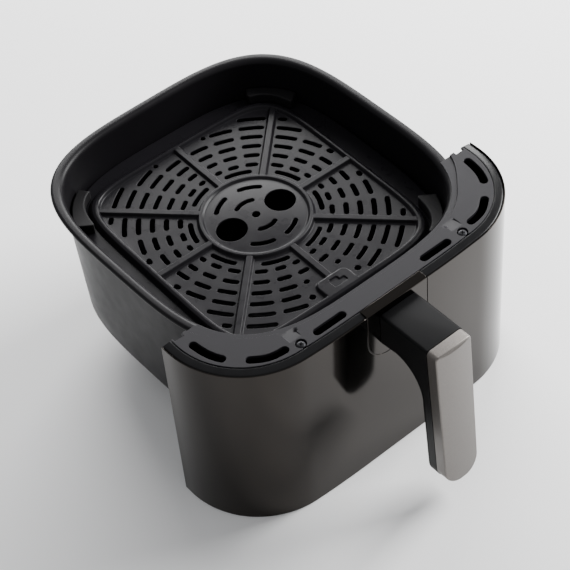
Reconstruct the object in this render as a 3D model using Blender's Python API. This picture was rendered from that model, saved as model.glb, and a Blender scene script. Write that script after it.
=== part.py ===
"""Drawer of a basket air fryer: pan, crisper plate, front fascia, top bezel and handle.

The drawing frame has X to the right, +Y towards the back of the pan and +Z up. The pan's
axis is X = Y = 0 and the fascia's bottom edge is Z = 0. At the end the whole drawer is
shifted along Y, so that the world origin is the bottom centre of its box.
"""

import math

import bmesh
import bpy
from mathutils import Vector
from mathutils.geometry import delaunay_2d_cdt

MM = 0.001
GAP = 0.3                      # clearance between touching pieces, mm

# --- Driving dimensions, millimetres --------------------------------------------------
# Pan: a superellipse in plan, drawn from sheet.
WALL_HALF_X = 120.5            # outside of the wall, just under the rim
WALL_HALF_Y = 128.1
PAN_POWER = 3.6
PAN_DEPTH = 125.7
PAN_SHEET = 1.2
PAN_TAPER = math.radians(2.0)
PAN_FILLET = 12.6
RIM_WIDTH = 7.3
ROLL = 3.4                     # height of the rolled edge

# Fascia: a shell with straight wings, two large round corners and a nearly flat front.
PAN_LIFT = 32.5                # fascia's lower edge to the underside of the pan
SIDE_SPACE = 26.4              # pan's wall to the fascia's outer face, at the side
FRONT_SPACE = 28.6             # the same, at the front
FRONT_CROWN = 1.5              # how far the front falls back towards its corners
FRONT_FLAT = 2.0               # the front is flat this far beyond the mount plate
CORNER_RADIUS = 67.0
WING_STRAIGHT = 9.4            # straight end of a wing, behind its corner
SKIN = 1.0                     # tinted steel skin
LIP_WIDTH = 6.7                # ledge around the bezel
LIP_DROP = 0.9                 # the ledge lies this far below the bezel
LIP_SLOPE = 0.4                # rise of the ledge's inner edge, and fall of its outer edge
LIP_SHEET = 1.8
FRAME_WALL = 2.5
FRAME_FLANGE = 10.7            # width of the bottom flange
FLANGE_SHEET = 2.5
PANEL_WALL = 2.0
PANEL_TO_PAN = 3.0

# Bezel.
BEZEL = 2.6                    # thickness
RIM_BELOW_BEZEL = 2.2
BEZEL_TO_RIM = 0.6             # inner edge to the rolled edge of the pan
VENT_HALF = 3.2
RAMP_WIDTH = 10.5
RAMP_BEHIND_SCREW = 9.0
RAMP_RUN = 19.0
RAMP_DEPTH = 3.4
NOTCH_WIDTH = 7.6
NOTCH_DEPTH = 2.9
NOTCH_INSET = 10.0

# Crisper plate: a pressed sheet with beads, lying inside the pan.
PLATE_BELOW_RIM = 29.0         # bead crests below the rim
PLATE_TURN = math.radians(-1.2)
PLATE_SHEET = 1.5
BORDER_TO_PAN_X = 27.7         # border's crest to the pan's wall, at the side
BORDER_TO_PAN_Y = 26.1         # the same, at the front and back
BORDER_POWER = 6.5
BORDER_TOP = 2.0               # width of the border bead's flat top
BORDER_WALL = 5.0              # run of the steep wall outside the border
FLANGE_DROP = 12.6
FLANGE_TO_WALL = 3.2
BEAD_HEIGHT = 3.4
BEAD_HALF = 2.6
RING_RADIUS = 42.0
RIB_TOP_HALF = 1.4
RIB_HALF = 4.6
RIBS = 8
DOME = 2.2
FINGER_HOLE = 23.8
FINGER_HOLE_X = 23.3
CENTRE_HOLE = 6.2
SLOT_HALF = 1.9
SLOT_TO_RIB = 1.3
SLOT_SPACE = 6.9               # between the slots of one row
SLOT_TO_BORDER = 4.6           # slot's centre line to the border's crest
ARC_ROW = 8.0                  # long arc slots, outside the round bead's crest
ROW_FIRST = 15.5               # first row of short slots, outside the crest
ROW_PITCH = 10.6
PAD_HALF_X = 13.6
PAD_DEPTH = 16.0
PAD_SLOPE = 2.0
PAD_HOLE_X = 21.5              # round hole on each side of the pad
PAD_HOLE_IN = 10.0

# Bumpers: silicone blocks on the plate's flange, at its corners.
BUMPER_ABOVE_PLATE = 4.0       # top of a bumper above the bead crests
BUMPER_TO_BORDER = 0.8
BUMPER_SPREAD = math.radians(8.5)

# Handle.
HANDLE_WIDTH = 33.6
TONGUE_BESIDE_ARM = 11.3       # mount plate beside the arm
TONGUE_DROP = 48.6             # bezel top to the lower edge of the mount plate
TONGUE_RADIUS = 20.0
TONGUE_PLATE = 2.0
ARM_TOP_BELOW = 6.6            # top of the arm below the bezel's top
ARM_HEIGHT = 28.4
ARM_REACH = 45.7               # fascia to the front of the arm's top
GRIP_LENGTH = 135.8            # top of the arm to the lowest point of the grip
GRIP_TILT = math.radians(4.4)
GRIP_DEPTH = 9.4               # black body behind the cap
GRIP_NARROWS = 0.8             # each side, from top to foot
GRIP_FOOT_RADIUS = 14.0
BEND_REACH = 14.0              # straight part of the arm's underside
COVER_WALL = 3.0
CAP_SIDE = 9.3
CAP_CROWN = 1.6
CAP_EDGE = 1.1                 # break of the cap's edges
CAP_TOP_BELOW = 0.3            # the cap ends almost level with the arm
CORE_WIDTH = 14.0
CORE_THICK = 4.0

# Bracket and fasteners.
BRACKET_WIDTH = 66.0
BRACKET_SHEET = 2.0
SOCKET_DEPTH = 10.0
SCREW_HEAD = 7.0
SCREW_HEAD_HEIGHT = 2.2
SCREW_SHANK = 3.6
BEZEL_SCREW = 16.0
BRACKET_SCREW = 26.0
PANEL_SCREW = 14.0
GRIP_SCREW = 7.0
GRIP_HEAD = 5.4
BOSS_WALL = 1.2                # plastic around a screw head
POST_DEPTH = 38.0              # bezel screws' posts, below the bezel's top
WEB_HALF = 2.0
BRACKET_SCREW_X = 22.0
SCREW_BELOW_CORE = 4.0         # head's upper edge to the core

# --- Values that follow from them ------------------------------------------------------
FASCIA_HEIGHT = PAN_LIFT + PAN_DEPTH + RIM_BELOW_BEZEL
FASCIA_HALF_WIDTH = WALL_HALF_X + SIDE_SPACE
FRONT_Y = WALL_HALF_Y + FRONT_SPACE
WING_END_Y = FRONT_Y - FRONT_CROWN - CORNER_RADIUS - WING_STRAIGHT
RIM_Z = FASCIA_HEIGHT - RIM_BELOW_BEZEL
PAN_BOTTOM = PAN_LIFT
PLATE_Z = RIM_Z - PLATE_BELOW_RIM
FLANGE_Z = PLATE_Z - FLANGE_DROP
BORDER_HALF_X = WALL_HALF_X - BORDER_TO_PAN_X
BORDER_HALF_Y = WALL_HALF_Y - BORDER_TO_PAN_Y
LIP_INNER = SKIN + GAP + LIP_WIDTH
LIP_TOP = FASCIA_HEIGHT - LIP_DROP
FRAME_OUT = SKIN + GAP
FRAME_IN = FRAME_OUT + FRAME_WALL
BEZEL_OUT = LIP_INNER + GAP
BEZEL_BOTTOM = FASCIA_HEIGHT - BEZEL
TONGUE_HALF = HANDLE_WIDTH / 2 + TONGUE_BESIDE_ARM
ARM_TOP = FASCIA_HEIGHT - ARM_TOP_BELOW
ARM_FRONT_Y = FRONT_Y + ARM_REACH
GRIP_FOOT = ARM_TOP - GRIP_LENGTH
CORE_Z = ARM_TOP - 0.46 * ARM_HEIGHT
BRACKET_SCREW_Z = CORE_Z - CORE_THICK / 2 - SCREW_HEAD - SCREW_BELOW_CORE
BOSS_RADIUS = SCREW_HEAD / 2 + GAP + BOSS_WALL
SHANK_HOLE = SCREW_SHANK / 2 + GAP


def wipe_scene():
    for item in list(bpy.data.objects):
        bpy.data.objects.remove(item, do_unlink=True)


def material(name, colour, roughness, metallic):
    made = bpy.data.materials.new(name)
    made.use_nodes = True
    shader = made.node_tree.nodes["Principled BSDF"]
    shader.inputs["Base Color"].default_value = (*colour, 1.0)
    shader.inputs["Roughness"].default_value = roughness
    shader.inputs["Metallic"].default_value = metallic
    return made


def place(name, mesh, look, at=(0.0, 0.0, 0.0), smooth=30.0):
    """An object at a place given in the drawing frame, in millimetres, under the origin empty."""
    made = bpy.data.objects.new(name, mesh)
    bpy.context.scene.collection.objects.link(made)
    made.parent = origin
    made.location = Vector(at) * MM
    mesh.materials.append(look)
    mesh.shade_smooth()
    mesh.set_sharp_from_angle(angle=math.radians(smooth))
    return made


def mesh_from(points, faces, name="shape"):
    """A mesh from points in millimetres, with its faces turned outwards."""
    mesh = bpy.data.meshes.new(name)
    mesh.from_pydata([Vector(point) * MM for point in points], [], faces)
    work = bmesh.new()
    work.from_mesh(mesh)
    bmesh.ops.recalc_face_normals(work, faces=work.faces)
    work.to_mesh(mesh)
    work.free()
    return mesh


def joined(*meshes):
    """Several closed meshes as one mesh of separate solids."""
    work = bmesh.new()
    for mesh in meshes:
        work.from_mesh(mesh)
    made = bpy.data.meshes.new("joined")
    work.to_mesh(made)
    work.free()
    return made


def prism(outline, low, high, axis="Z"):
    """An outline extruded from low to high. Along Y the outline is (x, z), along X (y, z)."""
    turn = {
        "Z": lambda u, v, w: (u, v, w),
        "Y": lambda u, v, w: (u, w, v),
        "X": lambda u, v, w: (w, u, v),
    }[axis]
    count = len(outline)
    points = [turn(u, v, low) for u, v in outline] + [turn(u, v, high) for u, v in outline]
    faces = [tuple(range(count)), tuple(range(2 * count - 1, count - 1, -1))]
    faces += [(i, i + count, (i + 1) % count + count, (i + 1) % count) for i in range(count)]
    return mesh_from(points, faces)


def box(low, high):
    outline = [(low[0], low[1]), (high[0], low[1]), (high[0], high[1]), (low[0], high[1])]
    return prism(outline, low[2], high[2])


def circle(radius, count, centre=(0.0, 0.0)):
    turn = 2 * math.pi / count
    return [
        (centre[0] + radius * math.cos(i * turn), centre[1] + radius * math.sin(i * turn))
        for i in range(count)
    ]


def loft(rings):
    """A closed solid through rings of equally many points, closed by a face at each end."""
    count = len(rings[0])
    points = [point for ring in rings for point in ring]
    last = len(points) - count
    faces = [tuple(range(count)), tuple(range(last + count - 1, last - 1, -1))]
    for low in range(0, last, count):
        for i in range(count):
            j = (i + 1) % count
            faces.append((low + i, low + count + i, low + count + j, low + j))
    return mesh_from(points, faces)


def cut(target, cutter_mesh, operation="DIFFERENCE"):
    """A Boolean modifier on target, with its cutter as a hidden helper."""
    cutter = bpy.data.objects.new(target.name + "_cutter", cutter_mesh)
    bpy.context.scene.collection.objects.link(cutter)
    cutter.parent = origin
    cutter.hide_render = True
    cutter.display_type = "WIRE"
    modifier = target.modifiers.new(operation.title(), "BOOLEAN")
    modifier.operation = operation
    modifier.solver = "EXACT"
    modifier.object = cutter


# --- Plan curves -----------------------------------------------------------------------
def oval_radius(angle, half_x, half_y, power):
    across = abs(math.cos(angle) / half_x) ** power
    along = abs(math.sin(angle) / half_y) ** power
    return (across + along) ** (-1.0 / power)


def oval(half_x, half_y, power, count):
    """A superellipse, with its points drawn closer together at the four corners."""
    points = []
    for i in range(count):
        turn = 2 * math.pi * i / count
        angle = turn + 0.12 * math.sin(4 * turn)
        radius = oval_radius(angle, half_x, half_y, power)
        points.append((radius * math.cos(angle), radius * math.sin(angle)))
    return points


def wall_half(z):
    """Half sizes of the outside of the pan's wall at a height."""
    inward = (RIM_Z - z) * math.tan(PAN_TAPER)
    return WALL_HALF_X - inward, WALL_HALF_Y - inward


def front_y(x, inset):
    """The fascia's front curve: flat in the middle, falling back towards the corners."""
    corner_x = FASCIA_HALF_WIDTH - CORNER_RADIUS
    flat = TONGUE_HALF + FRONT_FLAT
    beyond = max(0.0, abs(x) - flat) / (corner_x - flat)
    return -(FRONT_Y - FRONT_CROWN * beyond**2 - inset)


def fascia_curve(inset, arc_steps=8, front_steps=8):
    """The fascia's plan curve, inset from its outer face, from the left wing to the right."""
    corner_x = FASCIA_HALF_WIDTH - CORNER_RADIUS
    corner_y = -(FRONT_Y - FRONT_CROWN - CORNER_RADIUS)
    left = [(-(FASCIA_HALF_WIDTH - inset), -WING_END_Y)]
    for i in range(arc_steps + 1):
        turn = math.pi + (math.pi / 2) * i / arc_steps
        reach = CORNER_RADIUS - inset
        left.append((-corner_x + reach * math.cos(turn), corner_y + reach * math.sin(turn)))
    flat = TONGUE_HALF + FRONT_FLAT
    for i in range(1, front_steps // 2):
        x = -corner_x + (corner_x - flat) * i / (front_steps // 2 - 1)
        left.append((x, front_y(x, inset)))
    return left + [(-x, y) for x, y in reversed(left)]


def rim_arc(grow, z, count=20):
    """The part of the pan's plan curve that lies between the wings, left to right."""
    half_x, half_y = (size + grow for size in wall_half(z))
    reach = (1 - (WING_END_Y / half_y) ** PAN_POWER) ** (1 / PAN_POWER) * half_x
    start = math.atan2(WING_END_Y, reach)
    points = []
    for i in range(count + 1):
        angle = math.pi + start + (math.pi - 2 * start) * i / count
        radius = oval_radius(angle, half_x, half_y, PAN_POWER)
        points.append((radius * math.cos(angle), radius * math.sin(angle)))
    return points


def swept(profile):
    """A profile of (inset, z) points carried along the fascia's plan curve."""
    curves = {inset: fascia_curve(inset) for inset, _ in profile}
    stations = len(fascia_curve(0.0))
    rings = []
    for i in range(stations):
        rings.append([(*curves[inset][i], z) for inset, z in profile])
    return loft(rings)


def slot_outline(centre_line, half, end_steps=3):
    """An outline of the given half width around a line of points, with round ends."""
    left, right = [], []
    line = [Vector(point) for point in centre_line]
    for i, point in enumerate(line):
        along = (line[min(i + 1, len(line) - 1)] - line[max(i - 1, 0)]).normalized()
        side = Vector((-along.y, along.x)) * half
        left.append(point + side)
        right.append(point - side)
    outline = []
    for points, end, into in ((left, line[-1], right[-1]), (right[::-1], line[0], left[0])):
        outline += points
        start = points[-1] - end
        for k in range(1, end_steps):
            turn = -math.pi * k / end_steps
            spun = Vector((
                start.x * math.cos(turn) - start.y * math.sin(turn),
                start.x * math.sin(turn) + start.y * math.cos(turn),
            ))
            outline.append(end + spun)
    return [(point.x, point.y) for point in outline]


# --- Pan -------------------------------------------------------------------------------
def pan_ring(grow, z, count):
    half_x, half_y = wall_half(z)
    return [(x, y, z) for x, y in oval(half_x + grow, half_y + grow, PAN_POWER, count)]


def build_pan(look):
    floor = PAN_BOTTOM + PAN_SHEET
    inner_fillet = PAN_FILLET - PAN_SHEET
    profile = []
    for i in range(4):
        turn = math.pi / 2 * i / 3
        inward = PAN_SHEET + inner_fillet * (1 - math.sin(turn))
        profile.append((-inward, floor + inner_fillet * (1 - math.cos(turn))))
    profile += [
        (-PAN_SHEET, RIM_Z - PAN_SHEET),
        (-0.5 * PAN_SHEET, RIM_Z - 0.3),
        (0.1 * RIM_WIDTH, RIM_Z),
        (0.4 * RIM_WIDTH, RIM_Z - 0.7),
        (0.6 * RIM_WIDTH, RIM_Z - 0.6),
        (0.8 * RIM_WIDTH, RIM_Z),
        (0.95 * RIM_WIDTH, RIM_Z - 0.15 * ROLL),
        (RIM_WIDTH, RIM_Z - 0.4 * ROLL),
        (0.92 * RIM_WIDTH, RIM_Z - ROLL),
        (0.7 * RIM_WIDTH, RIM_Z - ROLL),
        (0.62 * RIM_WIDTH, RIM_Z - 0.7 - PAN_SHEET),
        (0.15 * RIM_WIDTH, RIM_Z - 0.5 - PAN_SHEET),
        (0.0, RIM_Z - ROLL),
    ]
    for i in range(4):
        turn = math.pi / 2 * i / 3
        inward = PAN_FILLET * (1 - math.cos(turn))
        profile.append((-inward, PAN_BOTTOM + PAN_FILLET * (1 - math.sin(turn))))
    rings = [pan_ring(grow, z, 56) for grow, z in profile]
    place("pan", loft(rings), look)


def build_pan_bracket(look):
    """A plate welded to the pan's front wall, with a socket for the handle's steel core."""
    back = -(wall_half(CORE_Z)[1] + 2 * GAP)
    front = back - BRACKET_SHEET
    half = BRACKET_WIDTH / 2
    low = BRACKET_SCREW_Z - SCREW_HEAD
    high = CORE_Z + CORE_THICK / 2 + SCREW_HEAD
    made = place("pan_bracket", box((-half, front, low), (half, back, high)), look)
    half_w = CORE_WIDTH / 2 + GAP
    half_t = CORE_THICK / 2 + GAP
    wall = BRACKET_SHEET
    socket = box(
        (-half_w - wall, front - SOCKET_DEPTH, CORE_Z - half_t - wall),
        (half_w + wall, back - 0.5 * wall, CORE_Z + half_t + wall),
    )
    cut(made, socket, "UNION")
    cut(made, box(
        (-half_w, front - 2 * SOCKET_DEPTH, CORE_Z - half_t), (half_w, front, CORE_Z + half_t)
    ))
    for x in (-BRACKET_SCREW_X, BRACKET_SCREW_X):
        hole = circle(SHANK_HOLE, 12, (x, BRACKET_SCREW_Z))
        cut(made, prism(hole, front - 3, back + 3, "Y"))


def screw(at, direction, length, head=SCREW_HEAD):
    """A screw whose head's outer face is at a point, with its shank in a direction."""
    rings = []
    axis = Vector(direction).normalized()
    side = axis.orthogonal().normalized()
    other = axis.cross(side)
    for radius, along in (
        (0.42 * head, 0.0),
        (0.5 * head, 0.5),
        (0.5 * head, SCREW_HEAD_HEIGHT),
        (0.5 * SCREW_SHANK, SCREW_HEAD_HEIGHT),
        (0.5 * SCREW_SHANK, length - 1.0),
        (0.25 * SCREW_SHANK, length),
    ):
        ring = [Vector(at) + axis * along + side * u + other * v for u, v in circle(radius, 12)]
        rings.append([tuple(point) for point in ring])
    return loft(rings)


# --- Fascia ----------------------------------------------------------------------------
def tongue_outline(grow):
    """Front view (x, z) of the handle's mount plate, grown by a clearance."""
    half = TONGUE_HALF + grow
    bottom = FASCIA_HEIGHT - TONGUE_DROP - grow
    radius = TONGUE_RADIUS + grow
    outline = [(half, FASCIA_HEIGHT), (-half, FASCIA_HEIGHT)]
    for side, start in ((-1, math.pi), (1, 1.5 * math.pi)):
        for i in range(6):
            turn = start + math.pi / 2 * i / 5
            outline.append((
                side * (half - radius) + radius * math.cos(turn),
                bottom + radius + radius * math.sin(turn),
            ))
    return outline


def build_skin(look):
    top = LIP_TOP
    made = place("fascia_skin", swept([(0, 0), (0, top), (SKIN, top), (SKIN, 0)]), look)
    cut(made, prism(tongue_outline(GAP), -FRONT_Y - 5, -FRONT_Y + SKIN + 1, "Y"))


def bezel_screw_points():
    x = 0.518 * FASCIA_HALF_WIDTH
    return [(side * x, -(FRONT_Y - BEZEL_OUT - SCREW_HEAD + 1.3)) for side in (-1, 1)]


def panel_screw_points():
    """Screws through the wings' end walls: (x, z)."""
    x = FASCIA_HALF_WIDTH - FRAME_IN - BOSS_RADIUS - 1.5
    return [(side * x, share * FASCIA_HEIGHT) for side in (-1, 1) for share in (0.2, 0.75)]


def frame_bosses():
    """Solids that are joined to the frame: bosses for all of its screws, with their webs."""
    bracket_face = -(wall_half(CORE_Z)[1] + 3 * GAP + BRACKET_SHEET)
    wall_mid = FRAME_OUT + 0.5 * FRAME_WALL
    bosses = []
    for x in (-BRACKET_SCREW_X, BRACKET_SCREW_X):
        outline = circle(BOSS_RADIUS, 12, (x, BRACKET_SCREW_Z))
        bosses.append(prism(outline, front_y(x, wall_mid), bracket_face, "Y"))
    low, high = FASCIA_HEIGHT - POST_DEPTH, BEZEL_BOTTOM - GAP
    for x, y in bezel_screw_points():
        bosses.append(prism(circle(BOSS_RADIUS, 12, (x, y)), low, high))
        start = front_y(x, wall_mid)
        bosses.append(box((x - WEB_HALF, start, low - 1), (x + WEB_HALF, y - SHANK_HOLE, high)))
    end = -(WING_END_Y + PANEL_WALL + GAP)
    for x, z in panel_screw_points():
        side = math.copysign(1, x)
        start, stop = sorted((x + side * SHANK_HOLE, side * (FASCIA_HALF_WIDTH - wall_mid)))
        bosses.append(prism(circle(BOSS_RADIUS, 8, (x, z)), end - PANEL_SCREW, end, "Y"))
        bosses.append(
            box((start, end - PANEL_SCREW + 1, z - WEB_HALF), (stop, end - 1, z + WEB_HALF))
        )
    return bosses


def build_frame(look):
    profile = [
        (FRAME_OUT, 0),
        (FRAME_OUT, LIP_TOP - LIP_SLOPE),
        (LIP_INNER, LIP_TOP + LIP_SLOPE),
        (LIP_INNER, LIP_TOP - LIP_SHEET),
        (FRAME_IN, LIP_TOP - LIP_SHEET),
        (FRAME_IN, FLANGE_SHEET),
        (FRAME_OUT + FRAME_FLANGE, FLANGE_SHEET),
        (FRAME_OUT + FRAME_FLANGE, 0),
    ]
    made = place("fascia_frame", swept(profile), look)
    for boss in frame_bosses():
        cut(made, boss, "UNION")
    front = -FRONT_Y
    tongue_pocket = prism(tongue_outline(GAP), front - 5, front + TONGUE_PLATE + GAP, "Y")
    cut(made, tongue_pocket)
    half = TONGUE_HALF + GAP
    cut(made, box(
        (-half, front - 5, LIP_TOP - LIP_SHEET - 0.8), (half, front + LIP_INNER + 1, LIP_TOP + 5)
    ))
    half_w, half_t = CORE_WIDTH / 2 + 2 * GAP, CORE_THICK / 2 + 2 * GAP
    cut(made, box((-half_w, front - 5, CORE_Z - half_t), (half_w, front + 12, CORE_Z + half_t)))
    seat = front + TONGUE_PLATE + 3 * GAP + SCREW_HEAD_HEIGHT
    for x in (-BRACKET_SCREW_X, BRACKET_SCREW_X):
        centre = (x, BRACKET_SCREW_Z)
        cut(made, prism(circle(SCREW_HEAD / 2 + GAP, 12, centre), front - 5, seat, "Y"))
        cut(made, prism(circle(SHANK_HOLE, 12, centre), front - 6, -WALL_HALF_Y, "Y"))
    holes = [
        prism(circle(SHANK_HOLE, 12, point), BEZEL_BOTTOM - BEZEL_SCREW - 2, FASCIA_HEIGHT)
        for point in bezel_screw_points()
    ]
    end = -WING_END_Y
    holes += [
        prism(circle(SHANK_HOLE, 12, point), end - PANEL_SCREW - 0.5, end + 2, "Y")
        for point in panel_screw_points()
    ]
    cut(made, joined(*holes))


def build_inner_panel(look):
    """The inner cover: it follows the pan and closes the rear ends of the wings."""
    top = RIM_Z - ROLL - 1.0
    inner = rim_arc(PANEL_TO_PAN, top)
    outer = rim_arc(PANEL_TO_PAN + PANEL_WALL, top)
    end_x = FASCIA_HALF_WIDTH - FRAME_IN - GAP
    wing = -WING_END_Y
    turned = wing - PANEL_WALL
    inner = [(-end_x, wing)] + inner + [(end_x, wing)]
    kept = [point for point in outer if point[1] < turned - 1.0]
    start = (outer[0][0] - 0.3, turned)
    outer = [(-end_x, turned), start] + kept + [(-start[0], turned), (end_x, turned)]
    made = place("fascia_inner_panel", prism(inner + outer[::-1], 2.5 + GAP, top), look)
    front = -FRONT_Y
    back = -(WALL_HALF_Y - 20.0)
    openings = [
        prism(circle(BOSS_RADIUS + 0.7, 12, (x, BRACKET_SCREW_Z)), front, back, "Y")
        for x in (-BRACKET_SCREW_X, BRACKET_SCREW_X)
    ]
    half_w = CORE_WIDTH / 2 + BRACKET_SHEET + 2 * GAP
    half_t = CORE_THICK / 2 + BRACKET_SHEET + 2 * GAP
    openings.append(box(
        (-half_w, front, CORE_Z - half_t), (half_w, back, CORE_Z + half_t)
    ))
    openings += [
        prism(circle(SHANK_HOLE, 12, point), wing - 3 * PANEL_WALL, wing + PANEL_WALL, "Y")
        for point in panel_screw_points()
    ]
    cut(made, joined(*openings))


def vent_lines():
    """Centre lines of the three vent slots on the left of the bezel."""
    side = -FASCIA_HALF_WIDTH
    front = -FRONT_Y
    return [
        [(side + 16.7, front + 63.5), (side + 17.6, front + 56.2), (side + 19.4, front + 48.7),
         (side + 23.0, front + 40.8)],
        [(side + 36.4, front + 26.5), (side + 42.0, front + 22.3), (side + 48.5, front + 19.0),
         (side + 59.1, front + 17.3)],
        [(0.415 * side, front + 14.3), (0.264 * side, front + 14.3)],
    ]


def build_bezel(look):
    inner = rim_arc(RIM_WIDTH + BEZEL_TO_RIM, RIM_Z)
    outer = fascia_curve(BEZEL_OUT)
    made = place("top_bezel", prism(outer + inner[::-1], BEZEL_BOTTOM, FASCIA_HEIGHT), look)
    low, high = BEZEL_BOTTOM - 2, FASCIA_HEIGHT + 2
    cuts = []
    for line in vent_lines():
        for side in (1, -1):
            outline = slot_outline([(side * x, y) for x, y in line], VENT_HALF, 4)
            cuts.append(prism(outline, low, high))
    well = SCREW_HEAD / 2 + 2 * GAP
    cuts += [prism(circle(well, 14, point), low, high) for point in bezel_screw_points()]
    for side in (-1, 1):
        edge = FASCIA_HALF_WIDTH - NOTCH_INSET
        near, far = sorted((side * edge, side * (edge - NOTCH_WIDTH)))
        cuts.append(box((near, -WING_END_Y - NOTCH_DEPTH, low), (far, -WING_END_Y + 2, high)))
    cut(made, joined(*cuts))
    ramps = []
    outer_y = bezel_screw_points()[0][1] - SCREW_HEAD / 2 + RAMP_BEHIND_SCREW
    for x, _ in bezel_screw_points():
        slope = [
            (outer_y, FASCIA_HEIGHT + 0.1),
            (outer_y + RAMP_RUN, FASCIA_HEIGHT - RAMP_DEPTH),
            (outer_y + RAMP_RUN, FASCIA_HEIGHT + 3),
        ]
        ramps.append(prism(slope, x - RAMP_WIDTH / 2, x + RAMP_WIDTH / 2, "X"))
    cut(made, joined(*ramps))


# --- Handle ----------------------------------------------------------------------------
def build_tongue(look):
    front = -FRONT_Y
    made = place(
        "handle_mount_plate", prism(tongue_outline(0), front, front + TONGUE_PLATE, "Y"), look
    )
    lip = box(
        (-TONGUE_HALF, front + 0.5 * TONGUE_PLATE, FASCIA_HEIGHT - 2.2),
        (TONGUE_HALF, front + LIP_INNER, FASCIA_HEIGHT),
    )
    cut(made, lip, "UNION")
    half_w, half_t = CORE_WIDTH / 2 + 2 * GAP, CORE_THICK / 2 + 2 * GAP
    cut(made, box((-half_w, front - 5, CORE_Z - half_t), (half_w, front + 5, CORE_Z + half_t)))


def grip_front(z):
    """Y of the face between the grip's body and its cap: it leans forward going down."""
    return -(ARM_FRONT_Y + (ARM_TOP - z) * math.tan(GRIP_TILT))


def grip_back(z):
    return grip_front(z) + GRIP_DEPTH


def arm_outline(grow):
    """Underside of the arm and back of the grip as (y, z), from the fascia to the grip's foot.

    A positive grow lies inside the handle. A quarter of an ellipse joins the two."""
    under = ARM_TOP - ARM_HEIGHT + grow
    start_y = -(FRONT_Y + GAP)
    bend_z = ARM_TOP - 2.1 * ARM_HEIGHT
    bend_y = grip_back(bend_z) - grow
    reach = (-FRONT_Y - BEND_REACH) - bend_y
    points = [(start_y, under - 1.5)]
    for i in range(7):
        turn = math.pi / 2 * i / 6
        y = bend_y + reach * (1 - math.sin(turn))
        z = bend_z + (under - bend_z) * math.cos(turn)
        points.append((y, z))
    for share in (0.5, 1.0):
        z = bend_z + (GRIP_FOOT - bend_z) * share
        points.append((grip_back(z) - grow, z))
    return points


def handle_front_outline(half_top):
    """Front view of the handle as (x, z): straight sides and a round lower end."""
    half_low = half_top - GRIP_NARROWS
    radius = GRIP_FOOT_RADIUS
    outline = [(half_top, ARM_TOP), (-half_top, ARM_TOP)]
    for side, start in ((-1, math.pi), (1, 1.5 * math.pi)):
        for i in range(7):
            turn = start + math.pi / 2 * i / 6
            outline.append((
                side * (half_low - radius) + radius * math.cos(turn),
                GRIP_FOOT + radius * (1 + math.sin(turn)),
            ))
    return outline


def build_handle(body_look, core_look, cap_look, screw_look):
    start_y = -(FRONT_Y + GAP)
    half = HANDLE_WIDTH / 2
    shape = handle_front_outline(half)

    split = arm_outline(COVER_WALL)
    body = [(start_y, ARM_TOP), (start_y, split[0][1])] + split[1:]
    body += [(grip_front(GRIP_FOOT), GRIP_FOOT), (grip_front(ARM_TOP), ARM_TOP - 0.7)]
    made = place("handle_body", prism(body, -half, half, "X"), body_look)
    cut(made, prism(shape, start_y - 90, start_y + 30, "Y"), "INTERSECT")
    half_w, half_t = CORE_WIDTH / 2 + GAP, CORE_THICK / 2 + GAP
    core_end = -(ARM_FRONT_Y - 6.0)
    pocket = box((-half_w, core_end - GAP, CORE_Z - half_t), (half_w, start_y + 5, CORE_Z + half_t))
    cut(made, pocket)

    under = arm_outline(0.0)
    line = arm_outline(COVER_WALL - GAP)
    cover = [(start_y, under[0][1])] + under[1:] + line[:0:-1] + [(start_y, line[0][1])]
    made_cover = place("handle_back_cover", prism(cover, -half, half, "X"), body_look)
    cut(made_cover, prism(shape, start_y - 90, start_y + 30, "Y"), "INTERSECT")

    core_back = -(wall_half(CORE_Z)[1] + 3 * GAP + BRACKET_SHEET)
    core = box(
        (-CORE_WIDTH / 2, core_end, CORE_Z - CORE_THICK / 2),
        (CORE_WIDTH / 2, core_back, CORE_Z + CORE_THICK / 2),
    )
    place("handle_core", core, core_look)

    for name, share in (("lower", 0.22), ("upper", 0.52)):
        z = GRIP_FOOT + share * GRIP_LENGTH
        back = grip_back(z)
        head_end = back - 0.4 - SCREW_HEAD_HEIGHT - GAP
        head_hole = prism(circle(GRIP_HEAD / 2 + GAP, 12, (0, z)), head_end, back + 6, "Y")
        shank_end = back - 0.4 - GRIP_SCREW - GAP
        shank_hole = prism(circle(SHANK_HOLE, 12, (0, z)), shank_end, back + 5, "Y")
        for target in (made, made_cover):
            cut(target, head_hole)
            cut(target, shank_hole)
        shape_of_screw = screw((0, back - 0.4, z), (0, -1, 0), GRIP_SCREW, GRIP_HEAD)
        place("grip_screw_" + name, shape_of_screw, screw_look)

    build_cap(cap_look)


def build_cap(look):
    """The grip's front cap: crowned across its width, with a round lower end."""
    half = HANDLE_WIDTH / 2
    top = ARM_TOP - CAP_TOP_BELOW
    foot, radius = GRIP_FOOT, GRIP_FOOT_RADIUS
    heights = [top, top - CAP_EDGE, top - 0.5 * (top - foot), foot + radius]
    heights += [foot + radius * (1 - math.sin(math.pi / 2 * i / 6)) for i in range(1, 6)]
    heights.append(foot + 0.25)
    rings = []
    for z in heights:
        width = half - GRIP_NARROWS * (top - z) / (top - foot)
        if z < foot + radius:
            fall = (foot + radius - z) / radius
            width = width - radius + radius * math.sqrt(max(0.0, 1 - fall * fall))
        share = width / half
        thick = CAP_SIDE - (CAP_EDGE if z == top else 0.0)
        back = grip_front(z) - GAP
        ring = [(-width, back, z)]
        for i in range(9):
            across = -1 + 2 * i / 8
            bulge = CAP_CROWN * (1 - (across * share) ** 2)
            edge = CAP_EDGE if abs(across) == 1 else 0.0
            ring.append((across * width, back - thick - bulge + edge, z))
        ring.append((width, back, z))
        rings.append(ring)
    place("handle_cap", loft(rings), look)


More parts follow.
